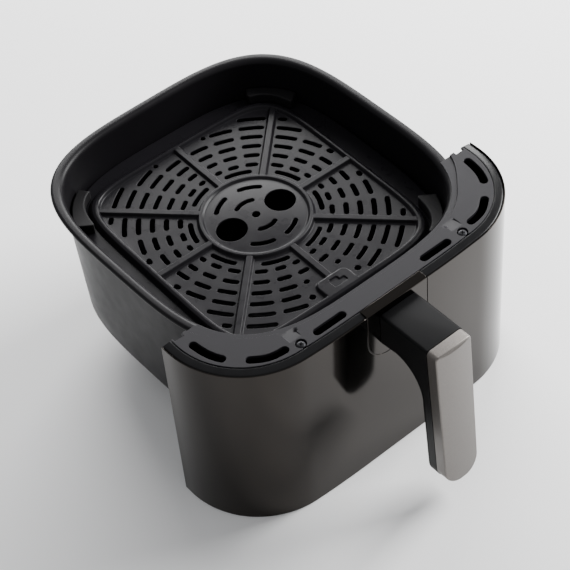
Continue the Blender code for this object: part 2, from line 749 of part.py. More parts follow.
# --- Crisper plate ---------------------------------------------------------------------
def border_offset(x, y):
    """How far outside the border's crest line a point lies; negative inside."""
    low, high = -0.98 * BORDER_HALF_X, 60.0
    for _ in range(30):
        middle = (low + high) / 2
        across = abs(x / (BORDER_HALF_X + middle)) ** BORDER_POWER
        along = abs(y / (BORDER_HALF_Y + middle)) ** BORDER_POWER
        if across + along > 1:
            low = middle
        else:
            high = middle
    return (low + high) / 2


def ramp(value, low, high):
    return min(1.0, max(0.0, (value - low) / (high - low)))


def plate_height(x, y):
    """Height of the pressed sheet above its bead crests (so zero or less), in millimetres."""
    offset = border_offset(x, y)
    if offset > 0:
        return -FLANGE_DROP * ramp(offset, BORDER_TOP, BORDER_TOP + BORDER_WALL)
    radius = math.hypot(x, y)
    height = -BEAD_HEIGHT * ramp(-offset, 0, BEAD_HALF)
    height = max(height, -BEAD_HEIGHT * ramp(abs(radius - RING_RADIUS), 0, BEAD_HALF))
    if radius < RING_RADIUS - BEAD_HALF:
        height = -BEAD_HEIGHT + DOME * (1 - (radius / (RING_RADIUS - BEAD_HALF)) ** 2)
    if radius > RING_RADIUS:
        for i in range(RIBS):
            angle = 2 * math.pi * i / RIBS
            along = x * math.cos(angle) + y * math.sin(angle)
            across = abs(y * math.cos(angle) - x * math.sin(angle))
            if along > 0:
                height = max(height, -BEAD_HEIGHT * ramp(across, RIB_TOP_HALF, RIB_HALF))
    pad_x = abs(x) - PAD_HALF_X
    pad_y = y + BORDER_HALF_Y - PAD_DEPTH
    height = max(height, -BEAD_HEIGHT * ramp(max(pad_x, pad_y), 0, PAD_SLOPE))
    return height


def slot_rows():
    """Slots of one sector as (radius, start, end), in radians from a corner rib."""
    rows = [(RING_RADIUS + ARC_ROW, math.radians(11.5), math.radians(34.6))]
    corner = oval_radius(math.pi / 4, BORDER_HALF_X, BORDER_HALF_Y, BORDER_POWER)
    count = int((corner - SLOT_TO_BORDER - RING_RADIUS - ROW_FIRST) / ROW_PITCH) + 1
    for row in range(count):
        radius = RING_RADIUS + ROW_FIRST + row * ROW_PITCH
        rib = (RIB_HALF + SLOT_TO_RIB) / radius
        between = SLOT_SPACE / radius
        stops = (math.radians(14.1), math.radians(28.0), math.pi / 4 - rib)
        starts = (rib, stops[0] + between, stops[1] + between)
        rows += [(radius, start, stop) for start, stop in zip(starts, stops)]
    return rows


def clear_of_beads(x, y):
    """True where a slot's centre line may run."""
    inside = border_offset(x, y) < -SLOT_TO_BORDER
    pad_start = BORDER_HALF_Y - PAD_DEPTH - 8.2
    by_pad = abs(x) < PAD_HALF_X + 5.0 and y < -pad_start
    below_row = abs(x) < PAD_HOLE_X + 5.0 and y < -(pad_start + 4.0)
    return inside and not by_pad and not below_row


def polar_slot(radius, start, stop, half=SLOT_HALF, steps=1):
    """A slot along an arc about the plate's centre, with three points at each end."""
    tip = half / radius
    turns = [start + (stop - start) * i / steps for i in range(steps + 1)]
    turns[0] += 0.55 * tip
    turns[-1] -= 0.55 * tip
    outer = [(radius + 0.85 * half, turn) for turn in turns]
    inner = [(radius - 0.85 * half, turn) for turn in reversed(turns)]
    ends = [(radius, turns[0] - tip), (radius, turns[-1] + tip)]
    polar = [ends[0]] + outer + [ends[1]] + inner
    return [(r * math.cos(turn), r * math.sin(turn)) for r, turn in polar]


def plate_holes():
    """Outlines of every hole in the plate."""
    holes = []
    for corner in range(4):
        middle = math.pi / 4 + corner * math.pi / 2
        for side in (-1, 1):
            for radius, start, stop in slot_rows():
                steps = 2 if radius < RING_RADIUS + ROW_FIRST else 1
                step = math.radians(0.5)

                def inside(turn):
                    angle = middle + side * turn
                    return clear_of_beads(radius * math.cos(angle), radius * math.sin(angle))

                while stop - start > step and not inside(stop):
                    stop -= step
                while stop - start > step and not inside(start):
                    start += step
                low, high = sorted((middle + side * start, middle + side * stop))
                if (high - low) * radius > 1.5 * SLOT_HALF:
                    holes.append(polar_slot(radius, low, high, steps=steps))
                elif inside(stop):
                    mid = (low + high) / 2
                    centre = (radius * math.cos(mid), radius * math.sin(mid))
                    holes.append(circle(SLOT_HALF, 6, centre))
    for side in (-1, 1):
        holes.append(circle(1.3 * SLOT_HALF, 8, (side * PAD_HOLE_X, PAD_HOLE_IN - BORDER_HALF_Y)))
    outer, inner = 0.726 * RING_RADIUS, 0.381 * RING_RADIUS
    for start, stop in ((45, 78), (102, 135), (-135, -102), (-81, -51)):
        holes.append(polar_slot(outer, math.radians(start), math.radians(stop), steps=3))
    for start, stop in ((60, 120), (-120, -64)):
        holes.append(polar_slot(inner, math.radians(start), math.radians(stop), steps=3))
    holes.append(circle(CENTRE_HOLE / 2, 8))
    for side in (-1, 1):
        holes.append(circle(FINGER_HOLE / 2, 24, (side * FINGER_HOLE_X, 0)))
    return holes


def pressed_sheet(outline, holes, break_lines, height, thickness):
    """A sheet of one thickness over an outline, with holes, pressed to a height function."""
    points, edges, regions = [], [], []

    def add(line, closed):
        first = len(points)
        points.extend(Vector(point) for point in line)
        last = len(points)
        edges.extend((i, i + 1) for i in range(first, last - 1))
        if closed:
            edges.append((last - 1, first))
        return list(range(first, last))

    regions.append(add(outline, True))
    regions += [add(hole, True) for hole in holes]
    for line, closed in break_lines:
        add(line, closed)
    flat, _, faces, _, _, sources = delaunay_2d_cdt(points, edges, regions, 0, 1e-5)
    kept = [face for face, source in zip(faces, sources) if list(source) == [0]]
    used = sorted({i for face in kept for i in face})
    order = {old: new for new, old in enumerate(used)}
    count = len(used)
    top = [(flat[i].x, flat[i].y, height(flat[i].x, flat[i].y)) for i in used]
    solid_points = top + [(x, y, z - thickness) for x, y, z in top]
    solid_faces = []
    directed = set()
    for face in kept:
        upper = [order[i] for i in face]
        solid_faces.append(tuple(upper))
        solid_faces.append(tuple(i + count for i in reversed(upper)))
        directed |= {(upper[i - 1], upper[i]) for i in range(len(upper))}
    for start, stop in directed:
        if (stop, start) not in directed:
            solid_faces.append((stop, start, start + count, stop + count))
    return mesh_from(solid_points, solid_faces)


def build_plate(look):
    half_x, half_y = wall_half(FLANGE_Z)
    inward = PAN_SHEET + FLANGE_TO_WALL
    outline = oval(half_x - inward, half_y - inward, PAN_POWER, 56)
    lines = []
    for offset in (-BEAD_HALF, 0.0, BORDER_TOP, BORDER_TOP + BORDER_WALL):
        curve = oval(BORDER_HALF_X + offset, BORDER_HALF_Y + offset, BORDER_POWER, 56)
        lines.append((curve, True))
    for radius in (RING_RADIUS - BEAD_HALF, RING_RADIUS, RING_RADIUS + BEAD_HALF):
        lines.append((circle(radius, 40), True))
    for i in range(RIBS):
        angle = 2 * math.pi * i / RIBS
        along = Vector((math.cos(angle), math.sin(angle)))
        side = Vector((-along.y, along.x))
        reach = oval_radius(angle, BORDER_HALF_X, BORDER_HALF_Y, BORDER_POWER)
        for across in (-RIB_HALF, -RIB_TOP_HALF, RIB_TOP_HALF, RIB_HALF):
            start = along * RING_RADIUS + side * across
            stop = along * (reach - 0.4) + side * across
            lines.append(([start, stop], False))
    pad_y = -(BORDER_HALF_Y - PAD_DEPTH)
    for grow in (0.0, PAD_SLOPE):
        half = PAD_HALF_X + grow
        low = -(BORDER_HALF_Y - 0.2)
        lines.append(([(-half, low), (-half, pad_y + grow), (half, pad_y + grow), (half, low)], False))
    mesh = pressed_sheet(outline, plate_holes(), lines, plate_height, PLATE_SHEET)
    made = place("crisper_plate", mesh, look, at=(0, 0, PLATE_Z))
    made.rotation_euler = (0, 0, PLATE_TURN)


def build_bumpers(look):
    """Four silicone blocks that stand on the flange and reach the pan's wall."""
    base = FLANGE_Z + 2 * GAP
    corners = {
        "front_left": 1.25 * math.pi,
        "front_right": 1.75 * math.pi,
        "rear_right": 0.25 * math.pi,
        "rear_left": 0.75 * math.pi,
    }
    for name, middle in corners.items():
        rings = []
        for z, shrink in ((base, 0.0), (PLATE_Z + BUMPER_ABOVE_PLATE, 0.8)):
            half_x, half_y = (size - PAN_SHEET - 2 * GAP - shrink for size in wall_half(base))
            grow = BORDER_TOP + BORDER_WALL + BUMPER_TO_BORDER + shrink
            outer, inner = [], []
            for i in range(7):
                angle = middle + BUMPER_SPREAD * (i / 3 - 1)
                reach = oval_radius(angle, half_x, half_y, PAN_POWER)
                outer.append((reach * math.cos(angle), reach * math.sin(angle), z))
                start = oval_radius(
                    angle - PLATE_TURN, BORDER_HALF_X + grow, BORDER_HALF_Y + grow, BORDER_POWER
                )
                inner.append((start * math.cos(angle), start * math.sin(angle), z))
            rings.append(outer + inner[::-1])
        place("bumper_" + name, loft(rings), look)


def centre_on_floor():
    """Shifts the drawer so that the bottom centre of its box is the world origin."""
    bpy.context.view_layer.update()
    graph = bpy.context.evaluated_depsgraph_get()
    reach = []
    for item in origin.children:
        if item.hide_render:
            continue
        solid = item.evaluated_get(graph)
        corners = [solid.matrix_world @ vertex.co for vertex in solid.data.vertices]
        reach += [corner.y for corner in corners]
    origin.location.y = -(min(reach) + max(reach)) / 2


wipe_scene()
origin = bpy.data.objects.new("drawer_origin", None)
bpy.context.scene.collection.objects.link(origin)

coated_steel = material("coated_steel", (0.030, 0.030, 0.033), 0.38, 0.4)
tinted_steel = material("tinted_steel", (0.085, 0.078, 0.074), 0.22, 1.0)
black_pa = material("black_polyamide", (0.028, 0.028, 0.031), 0.42, 0.0)
zinc_steel = material("zinc_steel", (0.45, 0.45, 0.46), 0.35, 1.0)
satin_paint = material("satin_paint", (0.26, 0.25, 0.24), 0.36, 0.8)
silicone = material("silicone", (0.022, 0.022, 0.024), 0.6, 0.0)

build_pan(coated_steel)
build_pan_bracket(zinc_steel)
build_skin(tinted_steel)
build_frame(black_pa)
build_inner_panel(black_pa)
build_bezel(black_pa)
build_tongue(tinted_steel)
build_handle(black_pa, zinc_steel, satin_paint, zinc_steel)
build_plate(coated_steel)
build_bumpers(silicone)

for side, (x, y) in zip(("left", "right"), bezel_screw_points()):
    head_top = BEZEL_BOTTOM + SCREW_HEAD_HEIGHT
    place("bezel_screw_" + side, screw((x, y, head_top), (0, 0, -1), BEZEL_SCREW), zinc_steel)
head_y = -(FRONT_Y - TONGUE_PLATE - 2 * GAP)
for side, x in (("left", -BRACKET_SCREW_X), ("right", BRACKET_SCREW_X)):
    start = (x, head_y, BRACKET_SCREW_Z)
    place("bracket_screw_" + side, screw(start, (0, 1, 0), BRACKET_SCREW), zinc_steel)
for name, (x, z) in zip(("left_low", "left_high", "right_low", "right_high"), panel_screw_points()):
    start = (x, -WING_END_Y + SCREW_HEAD_HEIGHT + GAP, z)
    place("panel_screw_" + name, screw(start, (0, -1, 0), PANEL_SCREW), zinc_steel)
centre_on_floor()
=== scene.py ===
# %% [markdown]
# # The drawer of a basket air fryer
#
# The drawer is what a cook pulls out: a coated steel pan, a perforated crisper plate lying in it, a
# curved steel fascia with a plastic bezel on top, and a handle. The CAD model holds the sizes and what
# moves. This lesson puts the finished surfaces around it: fine meshes with rounded edges, and one
# material for each real finish.
#
# The frame is loaded first, because every size below is read from it.

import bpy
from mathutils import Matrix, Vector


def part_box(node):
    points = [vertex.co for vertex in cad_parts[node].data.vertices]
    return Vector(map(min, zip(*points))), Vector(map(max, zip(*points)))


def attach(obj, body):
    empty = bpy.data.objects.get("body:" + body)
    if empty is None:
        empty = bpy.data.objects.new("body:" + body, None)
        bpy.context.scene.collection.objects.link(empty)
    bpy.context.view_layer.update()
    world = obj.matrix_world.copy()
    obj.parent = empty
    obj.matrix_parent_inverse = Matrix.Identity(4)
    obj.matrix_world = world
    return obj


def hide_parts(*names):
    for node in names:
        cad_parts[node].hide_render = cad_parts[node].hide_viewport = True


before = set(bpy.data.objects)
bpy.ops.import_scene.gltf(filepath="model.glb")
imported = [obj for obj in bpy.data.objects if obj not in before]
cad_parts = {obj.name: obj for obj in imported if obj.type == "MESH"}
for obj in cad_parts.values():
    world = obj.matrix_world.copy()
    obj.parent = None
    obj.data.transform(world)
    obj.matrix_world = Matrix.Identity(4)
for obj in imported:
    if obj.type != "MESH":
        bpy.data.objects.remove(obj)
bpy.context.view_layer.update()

# %% Tools and the drawing frame
import math

import bmesh
import bpy
import numpy as np
from mathutils import Vector
from mathutils.geometry import delaunay_2d_cdt

MM = 0.001
GAP = 0.3                      # clearance between neighbours, mm
pan_low, pan_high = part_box("pan")
PAN_CENTRE = Vector((0.0, (pan_low.y + pan_high.y) / 2, 0.0))
print("pan's axis at y =", round(PAN_CENTRE.y, 5))


def drawn_box(node):
    """A CAD node's box in millimetres, measured from the pan's axis and the fascia's foot."""
    low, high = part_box(node)
    return (low - PAN_CENTRE) / MM, (high - PAN_CENTRE) / MM


# %% Sizes read from the CAD nodes
rim_low, rim_high = drawn_box("pan")
skin_low, skin_high = drawn_box("fascia_skin")
tongue_low, tongue_high = drawn_box("handle_mount_plate")
body_low, body_high = drawn_box("handle_body")
cap_low = drawn_box("handle_cap")[0]
RIM_Z = rim_high.z
TOP_Z = drawn_box("top_bezel")[1].z
FRONT_Y = -skin_low.y
FASCIA_HALF = skin_high.x
WING_END_Y = -skin_high.y
PLATE_Z = drawn_box("crisper_plate")[1].z
print("fascia", round(2 * FASCIA_HALF, 1), "mm wide, bezel's top at", round(TOP_Z, 1), "mm")

# %% [markdown]
# ## The camera
#
# A long lens from the front left, looking down at about 45 degrees, shows the pan's inside, the curved
# fascia and the handle in one view. It comes first, so that each piece can be judged in it as it is
# made.

# %% Camera
camera_data = bpy.data.cameras.new("camera")
camera_data.sensor_width = 36.0
camera_data.lens = 109.907
camera_data.clip_end = 20.0
camera = bpy.data.objects.new("camera", camera_data)
crest_centre = PAN_CENTRE + Vector((0.0, 0.0, PLATE_Z * MM))
camera.location = crest_centre + Vector((-0.54075, -0.76072, 0.91887))
camera.rotation_euler = [math.radians(angle) for angle in (42.89116, 3.73780, -40.44065)]
bpy.context.scene.collection.objects.link(camera)
bpy.context.scene.camera = camera
print("camera at", [round(value, 3) for value in camera.location])

# %% [markdown]
# ## Materials
#
# A material is a small graph of nodes around one Principled shader. Every graph here is built with one
# helper that adds a node, sets it and links it. Patterns read object coordinates, which are metres, so
# a grain of 0.4 mm is a pattern scale of 1 / 0.0004.


# %% Colour and node helpers
def linear(hex_colour):
    """An sRGB hex colour as linear red, green, blue and alpha."""
    parts = [int(hex_colour[i:i + 2], 16) / 255 for i in (1, 3, 5)]
    return [c / 12.92 if c <= 0.04045 else ((c + 0.055) / 1.055) ** 2.4 for c in parts] + [1.0]


def add(tree, kind, settings=None, **links):
    """Adds a node. Settings are its properties; links are its inputs, as values or as sockets."""
    node = tree.nodes.new("ShaderNode" + kind)
    for key, value in (settings or {}).items():
        setattr(node, key, value)
    for key, value in links.items():
        slot = node.inputs[int(key[1:]) if key[1:].isdigit() else key.replace("_", " ")]
        if isinstance(value, bpy.types.NodeSocket):
            tree.links.new(value, slot)
        else:
            slot.default_value = value
    return node


def finish(name, shader_values):
    """A new material with its Principled shader's own values set; returns it, its tree and shader."""
    made = bpy.data.materials.new(name)
    made.use_nodes = True
    shader = made.node_tree.nodes["Principled BSDF"]
    for key, value in shader_values.items():
        shader.inputs[key].default_value = value
    print("finish:", name)
    return made, made.node_tree, shader


def grain(tree, millimetres, detail=2.0, stretch=(1.0, 1.0, 1.0)):
    """A noise pattern whose blotches are about this many millimetres across."""
    where = add(tree, "TexCoord").outputs["Object"]
    scaled = add(tree, "Mapping", Vector=where, Scale=stretch).outputs["Vector"]
    scale = 1.0 / (millimetres * MM)
    return add(tree, "TexNoise", Vector=scaled, Scale=scale, Detail=detail).outputs["Fac"]


def spread(tree, pattern, low, high, start=0.3, stop=0.7):
    """A pattern's middle range mapped to values from low to high."""
    values = dict(_0=pattern, _1=start, _2=stop, _3=low, _4=high)
    return add(tree, "MapRange", **values).outputs["Result"]


def blend_colours(tree, pattern, first, second):
    """A colour that runs from the first to the second with a pattern."""
    made = add(tree, "Mix", {"data_type": "RGBA"}, _0=pattern, _6=linear(first), _7=linear(second))
    return made.outputs[2]


def relief(tree, shader, pattern, height_mm, strength=1.0):
    """Gives a shader small bumps from a pattern."""
    bump = add(tree, "Bump", Strength=strength, Distance=height_mm * MM, Height=pattern)
    tree.links.new(bump.outputs["Normal"], shader.inputs["Normal"])


def vary(tree, shader, colour_by, dark, light, rough_by, smooth, rough, start=0.3, stop=0.7):
    """Lets one pattern mix a shader's two colours, and another vary its roughness."""
    tree.links.new(blend_colours(tree, colour_by, dark, light), shader.inputs["Base Color"])
    tree.links.new(spread(tree, rough_by, smooth, rough, start, stop), shader.inputs["Roughness"])


# %% [markdown]
# ### Tinted steel
#
# Thin stainless sheet, polished and then coloured in a vacuum chamber: a dark, warm near mirror that
# shows the handle and the floor in it. It is a metal, so its base colour is the colour of its
# reflections. The polishing belt leaves level lines of about 0.02 mm. They are drawn at 0.5 mm so that
# they show, and they only vary the roughness.

# %% Tinted steel
tinted_steel, tree, shader = finish("tinted_stainless_steel", {"Metallic": 1.0})
polish = grain(tree, 0.5, 3.0, (0.03, 0.03, 1.0))
tint = grain(tree, 45.0)
vary(tree, shader, tint, "#302d2b", "#33302d", polish, 0.075, 0.10)

# %% [markdown]
# ### Moulded plastics
#
# The frame's ledge comes out of a polished mould, so it is glossy and nearly black. The bezel's mould
# was spark eroded, which leaves a fine even grain that spreads the light. The handle is between the
# two: a satin black that feels dry. Both grains are under 0.1 mm on the real mouldings, and they are
# drawn at 0.45 and 0.35 mm so that they show. The specular level is below the usual 0.5, because the
# white surround would wash these blacks out.

# %% Gloss black, spark grained grey and satin black
gloss_black, tree, shader = finish("gloss_black_polyamide", {"IOR": 1.5, "Specular IOR Level": 0.15})
vary(tree, shader, grain(tree, 20.0), "#0c0c0d", "#101011", grain(tree, 6.0), 0.20, 0.25)

grained_grey, tree, shader = finish(
    "spark_grained_grey_polyamide", {"IOR": 1.5, "Specular IOR Level": 0.12}
)
sparks = grain(tree, 0.45)
vary(tree, shader, sparks, "#19181b", "#201f22", grain(tree, 6.0), 0.42, 0.50)
relief(tree, shader, sparks, 0.03, 0.6)

satin_black, tree, shader = finish("satin_black_polyamide", {"IOR": 1.5, "Specular IOR Level": 0.08})
fine = grain(tree, 0.35)
vary(tree, shader, grain(tree, 15.0), "#09090a", "#0c0c0d", fine, 0.32, 0.40)
relief(tree, shader, fine, 0.01, 0.5)

# %% [markdown]
# ### Metallic paint
#
# The grip's cap is sprayed with a warm grey paint that holds aluminium flakes, under a satin clear
# coat. The flakes lie at slightly different angles, so the paint sparkles in tiny points. Real flakes
# are about 0.05 mm; they are drawn at 0.35 mm so that they show.

# %% Metallic grey paint
flake_paint, tree, shader = finish(
    "metallic_grey_paint", {"Metallic": 0.9, "Coat Weight": 0.08, "Coat Roughness": 0.25}
)
where = add(tree, "TexCoord").outputs["Object"]
flakes = add(tree, "TexVoronoi", Vector=where, Scale=1.0 / (0.35 * MM))
sparkle = add(tree, "SeparateColor", _0=flakes.outputs["Color"]).outputs[0]
vary(tree, shader, sparkle, "#64605d", "#77736f", sparkle, 0.40, 0.52, 0.0, 1.0)
relief(tree, shader, sparkle, 0.01, 0.35)

# %% [markdown]
# ### Non-stick coatings
#
# Pan and plate carry a sprayed and baked coating of PTFE in a harder binder. It is satin, with a faint
# orange peel from the spray, 1.8 mm across, and mineral grains. The grains are about 0.05 mm and are
# drawn at 0.5 mm so that they show. The pan is nearly black; the plate's coating is a touch lighter.


# %% Non-stick coatings
def coating(name, dark, light, smooth, rough, gloss):
    """A sprayed coating: mineral grains in its colour, orange peel in its surface."""
    made, tree, shader = finish(name, {"IOR": 1.5, "Specular IOR Level": gloss})
    vary(tree, shader, grain(tree, 0.5), dark, light, grain(tree, 12.0), smooth, rough)
    relief(tree, shader, grain(tree, 1.8), 0.02, 0.3)
    return made


pan_coating = coating("baked_black_nonstick", "#111012", "#151416", 0.34, 0.40, 0.09)
plate_coating = coating("baked_grey_nonstick", "#131214", "#19181b", 0.26, 0.33, 0.10)

# %% [markdown]
# ### Silicone and screw finishes
#
# Silicone blocks keep the plate from rattling: soft, matte and a little dusty. The bezel's two screws
# get a dark, dull steel colour. This is painted shade: it stands in for the shade deep in their wells.
# Its fine grain is drawn at 0.3 mm. The other screws are zinc plated, bright and
# slightly blotchy.

# %% Silicone, dark steel with painted well shade, and zinc
silicone, tree, shader = finish("black_silicone", {"IOR": 1.41, "Specular IOR Level": 0.25})
dust = grain(tree, 0.8, 4.0)
vary(tree, shader, dust, "#0e0d0e", "#131214", dust, 0.55, 0.7)

# Dark steel for the bezel's two screws: painted shade, standing in for the shade deep in their wells
well_shade_dark_steel, tree, shader = finish("dark_steel_painted_well_shade", {"Metallic": 1.0})
well_shade_grain = grain(tree, 0.3)
vary(tree, shader, well_shade_grain, "#1f1f21", "#2c2c2e", well_shade_grain, 0.38, 0.5)

zinc, tree, shader = finish("zinc_plated_steel", {"Metallic": 1.0})
blotches = grain(tree, 1.2, 3.0)
vary(tree, shader, blotches, "#b4b5b9", "#cfd0d2", blotches, 0.22, 0.36)

# %% [markdown]
# ## Making sheets
#
# Most pieces here are sheets: flat outlines with holes, pressed or bent to shape, with a small radius
# on every edge. One function makes them all. It triangulates the flat outline, lifts each point to its
# place in space, and runs a rounded edge down round every border. It also works out each point's
# normal from the formula of the surface, so that reflections stay smooth over large triangles.


# %% Loops and their offsets
def offset_loop(loop, distance):
    """A closed loop moved to its left by a distance, corner by corner."""
    loop = np.asarray(loop, float)
    forward = np.roll(loop, -1, 0) - loop
    length = np.linalg.norm(forward, axis=1, keepdims=True)
    forward = forward / np.maximum(length, 1e-9)
    left = np.stack([-forward[:, 1], forward[:, 0]], 1)
    before = np.roll(left, 1, 0)
    corner = left + before
    scale = 2.0 / np.maximum((corner**2).sum(1, keepdims=True), 0.8)
    return loop + corner * scale * distance


def turned(loop, counterclockwise):
    """The loop in the asked direction."""
    loop = np.asarray(loop, float)
    following = np.roll(loop, -1, 0)
    area = (loop[:, 0] * following[:, 1] - following[:, 0] * loop[:, 1]).sum()
    return loop if (area > 0) == counterclockwise else loop[::-1]


def border_loops(faces):
    """Closed loops of the edges that only one face uses, with the faces on their left."""
    directed = {(face[i - 1], face[i]) for face in faces for i in range(len(face))}
    following = {start: stop for start, stop in directed if (stop, start) not in directed}
    loops = []
    while following:
        first, current = following.popitem()
        loop = [first]
        while current != first:
            loop.append(current)
            current = following.pop(current)
        loops.append(loop)
    return loops


# %% A piece from points, faces and normals
def piece_from(name, points, faces, look, body, stands_for, slot, normals=None, sharp=35.0):
    """A mesh object from points in drawing millimetres, riding on a body."""
    mesh = bpy.data.meshes.new(name)
    moved = np.asarray(points, float) * MM + np.array(PAN_CENTRE)
    mesh.from_pydata(moved.tolist(), [], [list(face) for face in faces])
    mesh.validate()
    mesh.shade_smooth()
    if normals is None:
        mesh.set_sharp_from_angle(angle=math.radians(sharp))
    else:
        mesh.normals_split_custom_set_from_vertices(np.asarray(normals, float).tolist())
    mesh.materials.append(look)
    made = bpy.data.objects.new(name, mesh)
    bpy.context.scene.collection.objects.link(made)
    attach(made, body)
    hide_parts(*stands_for)
    print(name, len(mesh.polygons), "faces")
    return made


# %% The sheet maker
def sheet(
    name, outline, holes, lines, surface, thick, edge, look, body, stands_for, slot, steps=4, sink=None
):
    """A sheet with rounded edges. surface(uv) gives points and unit normals of its upper face.

    thick is a number, or a function of uv where the thickness varies. It is measured along the
    normals, or along sink, a fixed direction, where the piece is cut off by a flat back.
    """
    depth = thick if callable(thick) else lambda uv: np.full(len(uv), float(thick))
    loops = [offset_loop(turned(outline, True), edge)]
    loops += [offset_loop(turned(hole, False), edge) for hole in holes]
    flat_points, edges, regions = [], [], []
    for loop in loops:
        first = len(flat_points)
        flat_points += [Vector(point) for point in loop.tolist()]
        region = list(range(first, len(flat_points)))
        edges += [(i, i + 1) for i in region[:-1]] + [(region[-1], first)]
        regions.append(region[::-1] if regions else region)
    for line in lines:
        first = len(flat_points)
        flat_points += [Vector(point) for point in np.asarray(line, float).tolist()]
        edges += [(i, i + 1) for i in range(first, len(flat_points) - 1)]
    found, _, found_faces, _, _, sources = delaunay_2d_cdt(flat_points, edges, regions, 0, 1e-4)
    kept = [face for face, source in zip(found_faces, sources) if list(source) == [0]]
    used = sorted({i for face in kept for i in face})
    order = {old: new for new, old in enumerate(used)}
    faces = [[order[i] for i in face] for face in kept]
    uv = np.array([found[i][:] for i in used])
    count = len(uv)
    upper, normals = surface(uv)
    towards = np.array(sink) if sink else normals
    points = [upper, upper - towards * depth(uv)[:, None]]
    point_normals = [normals, -normals]
    total = 2 * count
    all_faces = list(faces) + [[i + count for i in reversed(face)] for face in faces]
    for loop in border_loops(faces):
        flat = uv[loop]
        rim_uv = offset_loop(flat, -edge)
        outer_points, outer_normals = surface(rim_uv)
        outward = outer_points - upper[loop]
        outward -= (outward * outer_normals).sum(1, keepdims=True) * outer_normals
        outward /= np.maximum(np.linalg.norm(outward, axis=1, keepdims=True), 1e-9)
        rings = [np.array(loop)]
        for k in range(1, steps + 1):
            turn = math.pi / 2 * k / steps
            ring_points, ring_normals = surface(offset_loop(flat, -edge * math.sin(turn)))
            points.append(ring_points - ring_normals * edge * (1 - math.cos(turn)))
            point_normals.append(ring_normals * math.cos(turn) + outward * math.sin(turn))
            rings.append(np.arange(total, total + len(loop)))
            total += len(loop)
        towards = np.array(sink) if sink else outer_normals
        points.append(outer_points - towards * (depth(rim_uv)[:, None] - min(0.5 * edge, 0.25)))
        point_normals.append(outward)
        rings.append(np.arange(total, total + len(loop)))
        total += len(loop)
        rings.append(np.array(loop) + count)
        for above, below in zip(rings, rings[1:]):
            for a, b, c, d in zip(above, np.roll(above, -1), np.roll(below, -1), below):
                all_faces.append([int(b), int(a), int(d), int(c)])
    points = np.concatenate(points)
    point_normals = np.concatenate(point_normals)
    corners = points[np.array([face[:3] for face in faces])]
    facing = np.cross(corners[:, 1] - corners[:, 0], corners[:, 2] - corners[:, 0])
    if (facing * point_normals[[face[0] for face in faces]]).sum() < 0:
        all_faces = [face[::-1] for face in all_faces]
    return piece_from(
        name, points, all_faces, look, body, stands_for, slot, normals=point_normals
    )


# %% Surfaces from a height formula
def pressed(height, step=0.05):
    """A surface function for a sheet that lies flat and is pressed to height(x, y)."""
    def surface(uv):
        x, y = uv[:, 0], uv[:, 1]
        slope_x = (height(x + step, y) - height(x - step, y)) / (2 * step)
        slope_y = (height(x, y + step) - height(x, y - step)) / (2 * step)
        normals = np.stack([-slope_x, -slope_y, np.ones_like(x)], 1)
        normals /= np.linalg.norm(normals, axis=1, keepdims=True)
        return np.stack([x, y, height(x, y)], 1), normals
    return surface


# %% [markdown]
# ## Curves that the pieces share
#
# The pan is a superellipse in plan, a square with soft corners. The fascia is bent sheet: nearly flat
# across the front, two large corners, straight wings. Bending leaves no sudden change, so its curve is
# found by adding up a curvature that rises and falls gently. All the fascia's pieces are parallel to it.


# %% Superellipse
def oval_radius(angle, half_x, half_y, power):
    across = np.abs(np.cos(angle) / half_x) ** power
    along = np.abs(np.sin(angle) / half_y) ** power
    return (across + along) ** (-1.0 / power)


def oval(half_x, half_y, power, count):
    """A superellipse as points that lie closer together round its corners."""
    turn = np.linspace(0, 2 * math.pi, count, endpoint=False)
    angle = turn + 0.12 * np.sin(4 * turn)
    radius = oval_radius(angle, half_x, half_y, power)
    return np.stack([radius * np.cos(angle), radius * np.sin(angle)], 1)


# %% The fascia's curve
TONGUE_HALF = tongue_high.x
CROWN_CURVATURE = 1 / 830.0    # the front is slightly crowned beyond the handle's mount plate
CORNER_CURVATURE = 1 / 68.5
EASING = 9.0                   # length over which one curvature turns into the next


def eased(value, start, width):
    share = np.clip((value - start) / width, 0, 1)
    return share * share * (3 - 2 * share)


def bend_from(corner_start, total=330.0, count=3301):
    """Right half of the fascia's curve as length, x, y and heading, for a corner that starts there."""
    length = np.linspace(0, total, count)
    step = length[1]
    crown = CROWN_CURVATURE * eased(length, TONGUE_HALF + 2, 6)
    rise = eased(length, corner_start, EASING)
    heading = np.cumsum(crown * (1 - rise) + CORNER_CURVATURE * rise) * step
    until = length[np.searchsorted(heading, math.pi / 2)]
    fall = 1 - eased(length, until - EASING / 2, EASING)
    curvature = (crown * (1 - rise) + CORNER_CURVATURE * rise) * fall
    heading = np.concatenate([[0.0], np.cumsum(0.5 * (curvature[1:] + curvature[:-1]) * step)])
    heading *= (math.pi / 2) / heading[-1]
    x = np.concatenate([[0.0], np.cumsum(np.cos(0.5 * (heading[1:] + heading[:-1])) * step)])
    y = -FRONT_Y + np.concatenate([[0.0], np.cumsum(np.sin(0.5 * (heading[1:] + heading[:-1])) * step)])
    return length, x, y, heading


def solve_bend():
    """The corner starts where the wing then ends up at the fascia's side."""
    low, high = 40.0, 110.0
    for _ in range(40):
        middle = (low + high) / 2
        if bend_from(middle)[1][-1] < FASCIA_HALF:
            low = middle
        else:
            high = middle
    return bend_from(low)


bend_length, bend_x, bend_y, bend_heading = solve_bend()
WING_LENGTH = float(np.interp(-WING_END_Y, bend_y, bend_length))
print("half of the fascia's sheet is", round(WING_LENGTH, 1), "mm long")


def on_bend(length, inset=0.0):
    """Points and outward normals (x, y) of the fascia's curve at a length from its middle."""
    length = np.asarray(length, float)
    side = np.where(length < 0, -1.0, 1.0)
    x = np.interp(np.abs(length), bend_length, bend_x)
    y = np.interp(np.abs(length), bend_length, bend_y)
    heading = np.interp(np.abs(length), bend_length, bend_heading)
    normal = np.stack([side * np.sin(heading), -np.cos(heading)], -1)
    return np.stack([side * x, y], -1) - normal * inset, normal


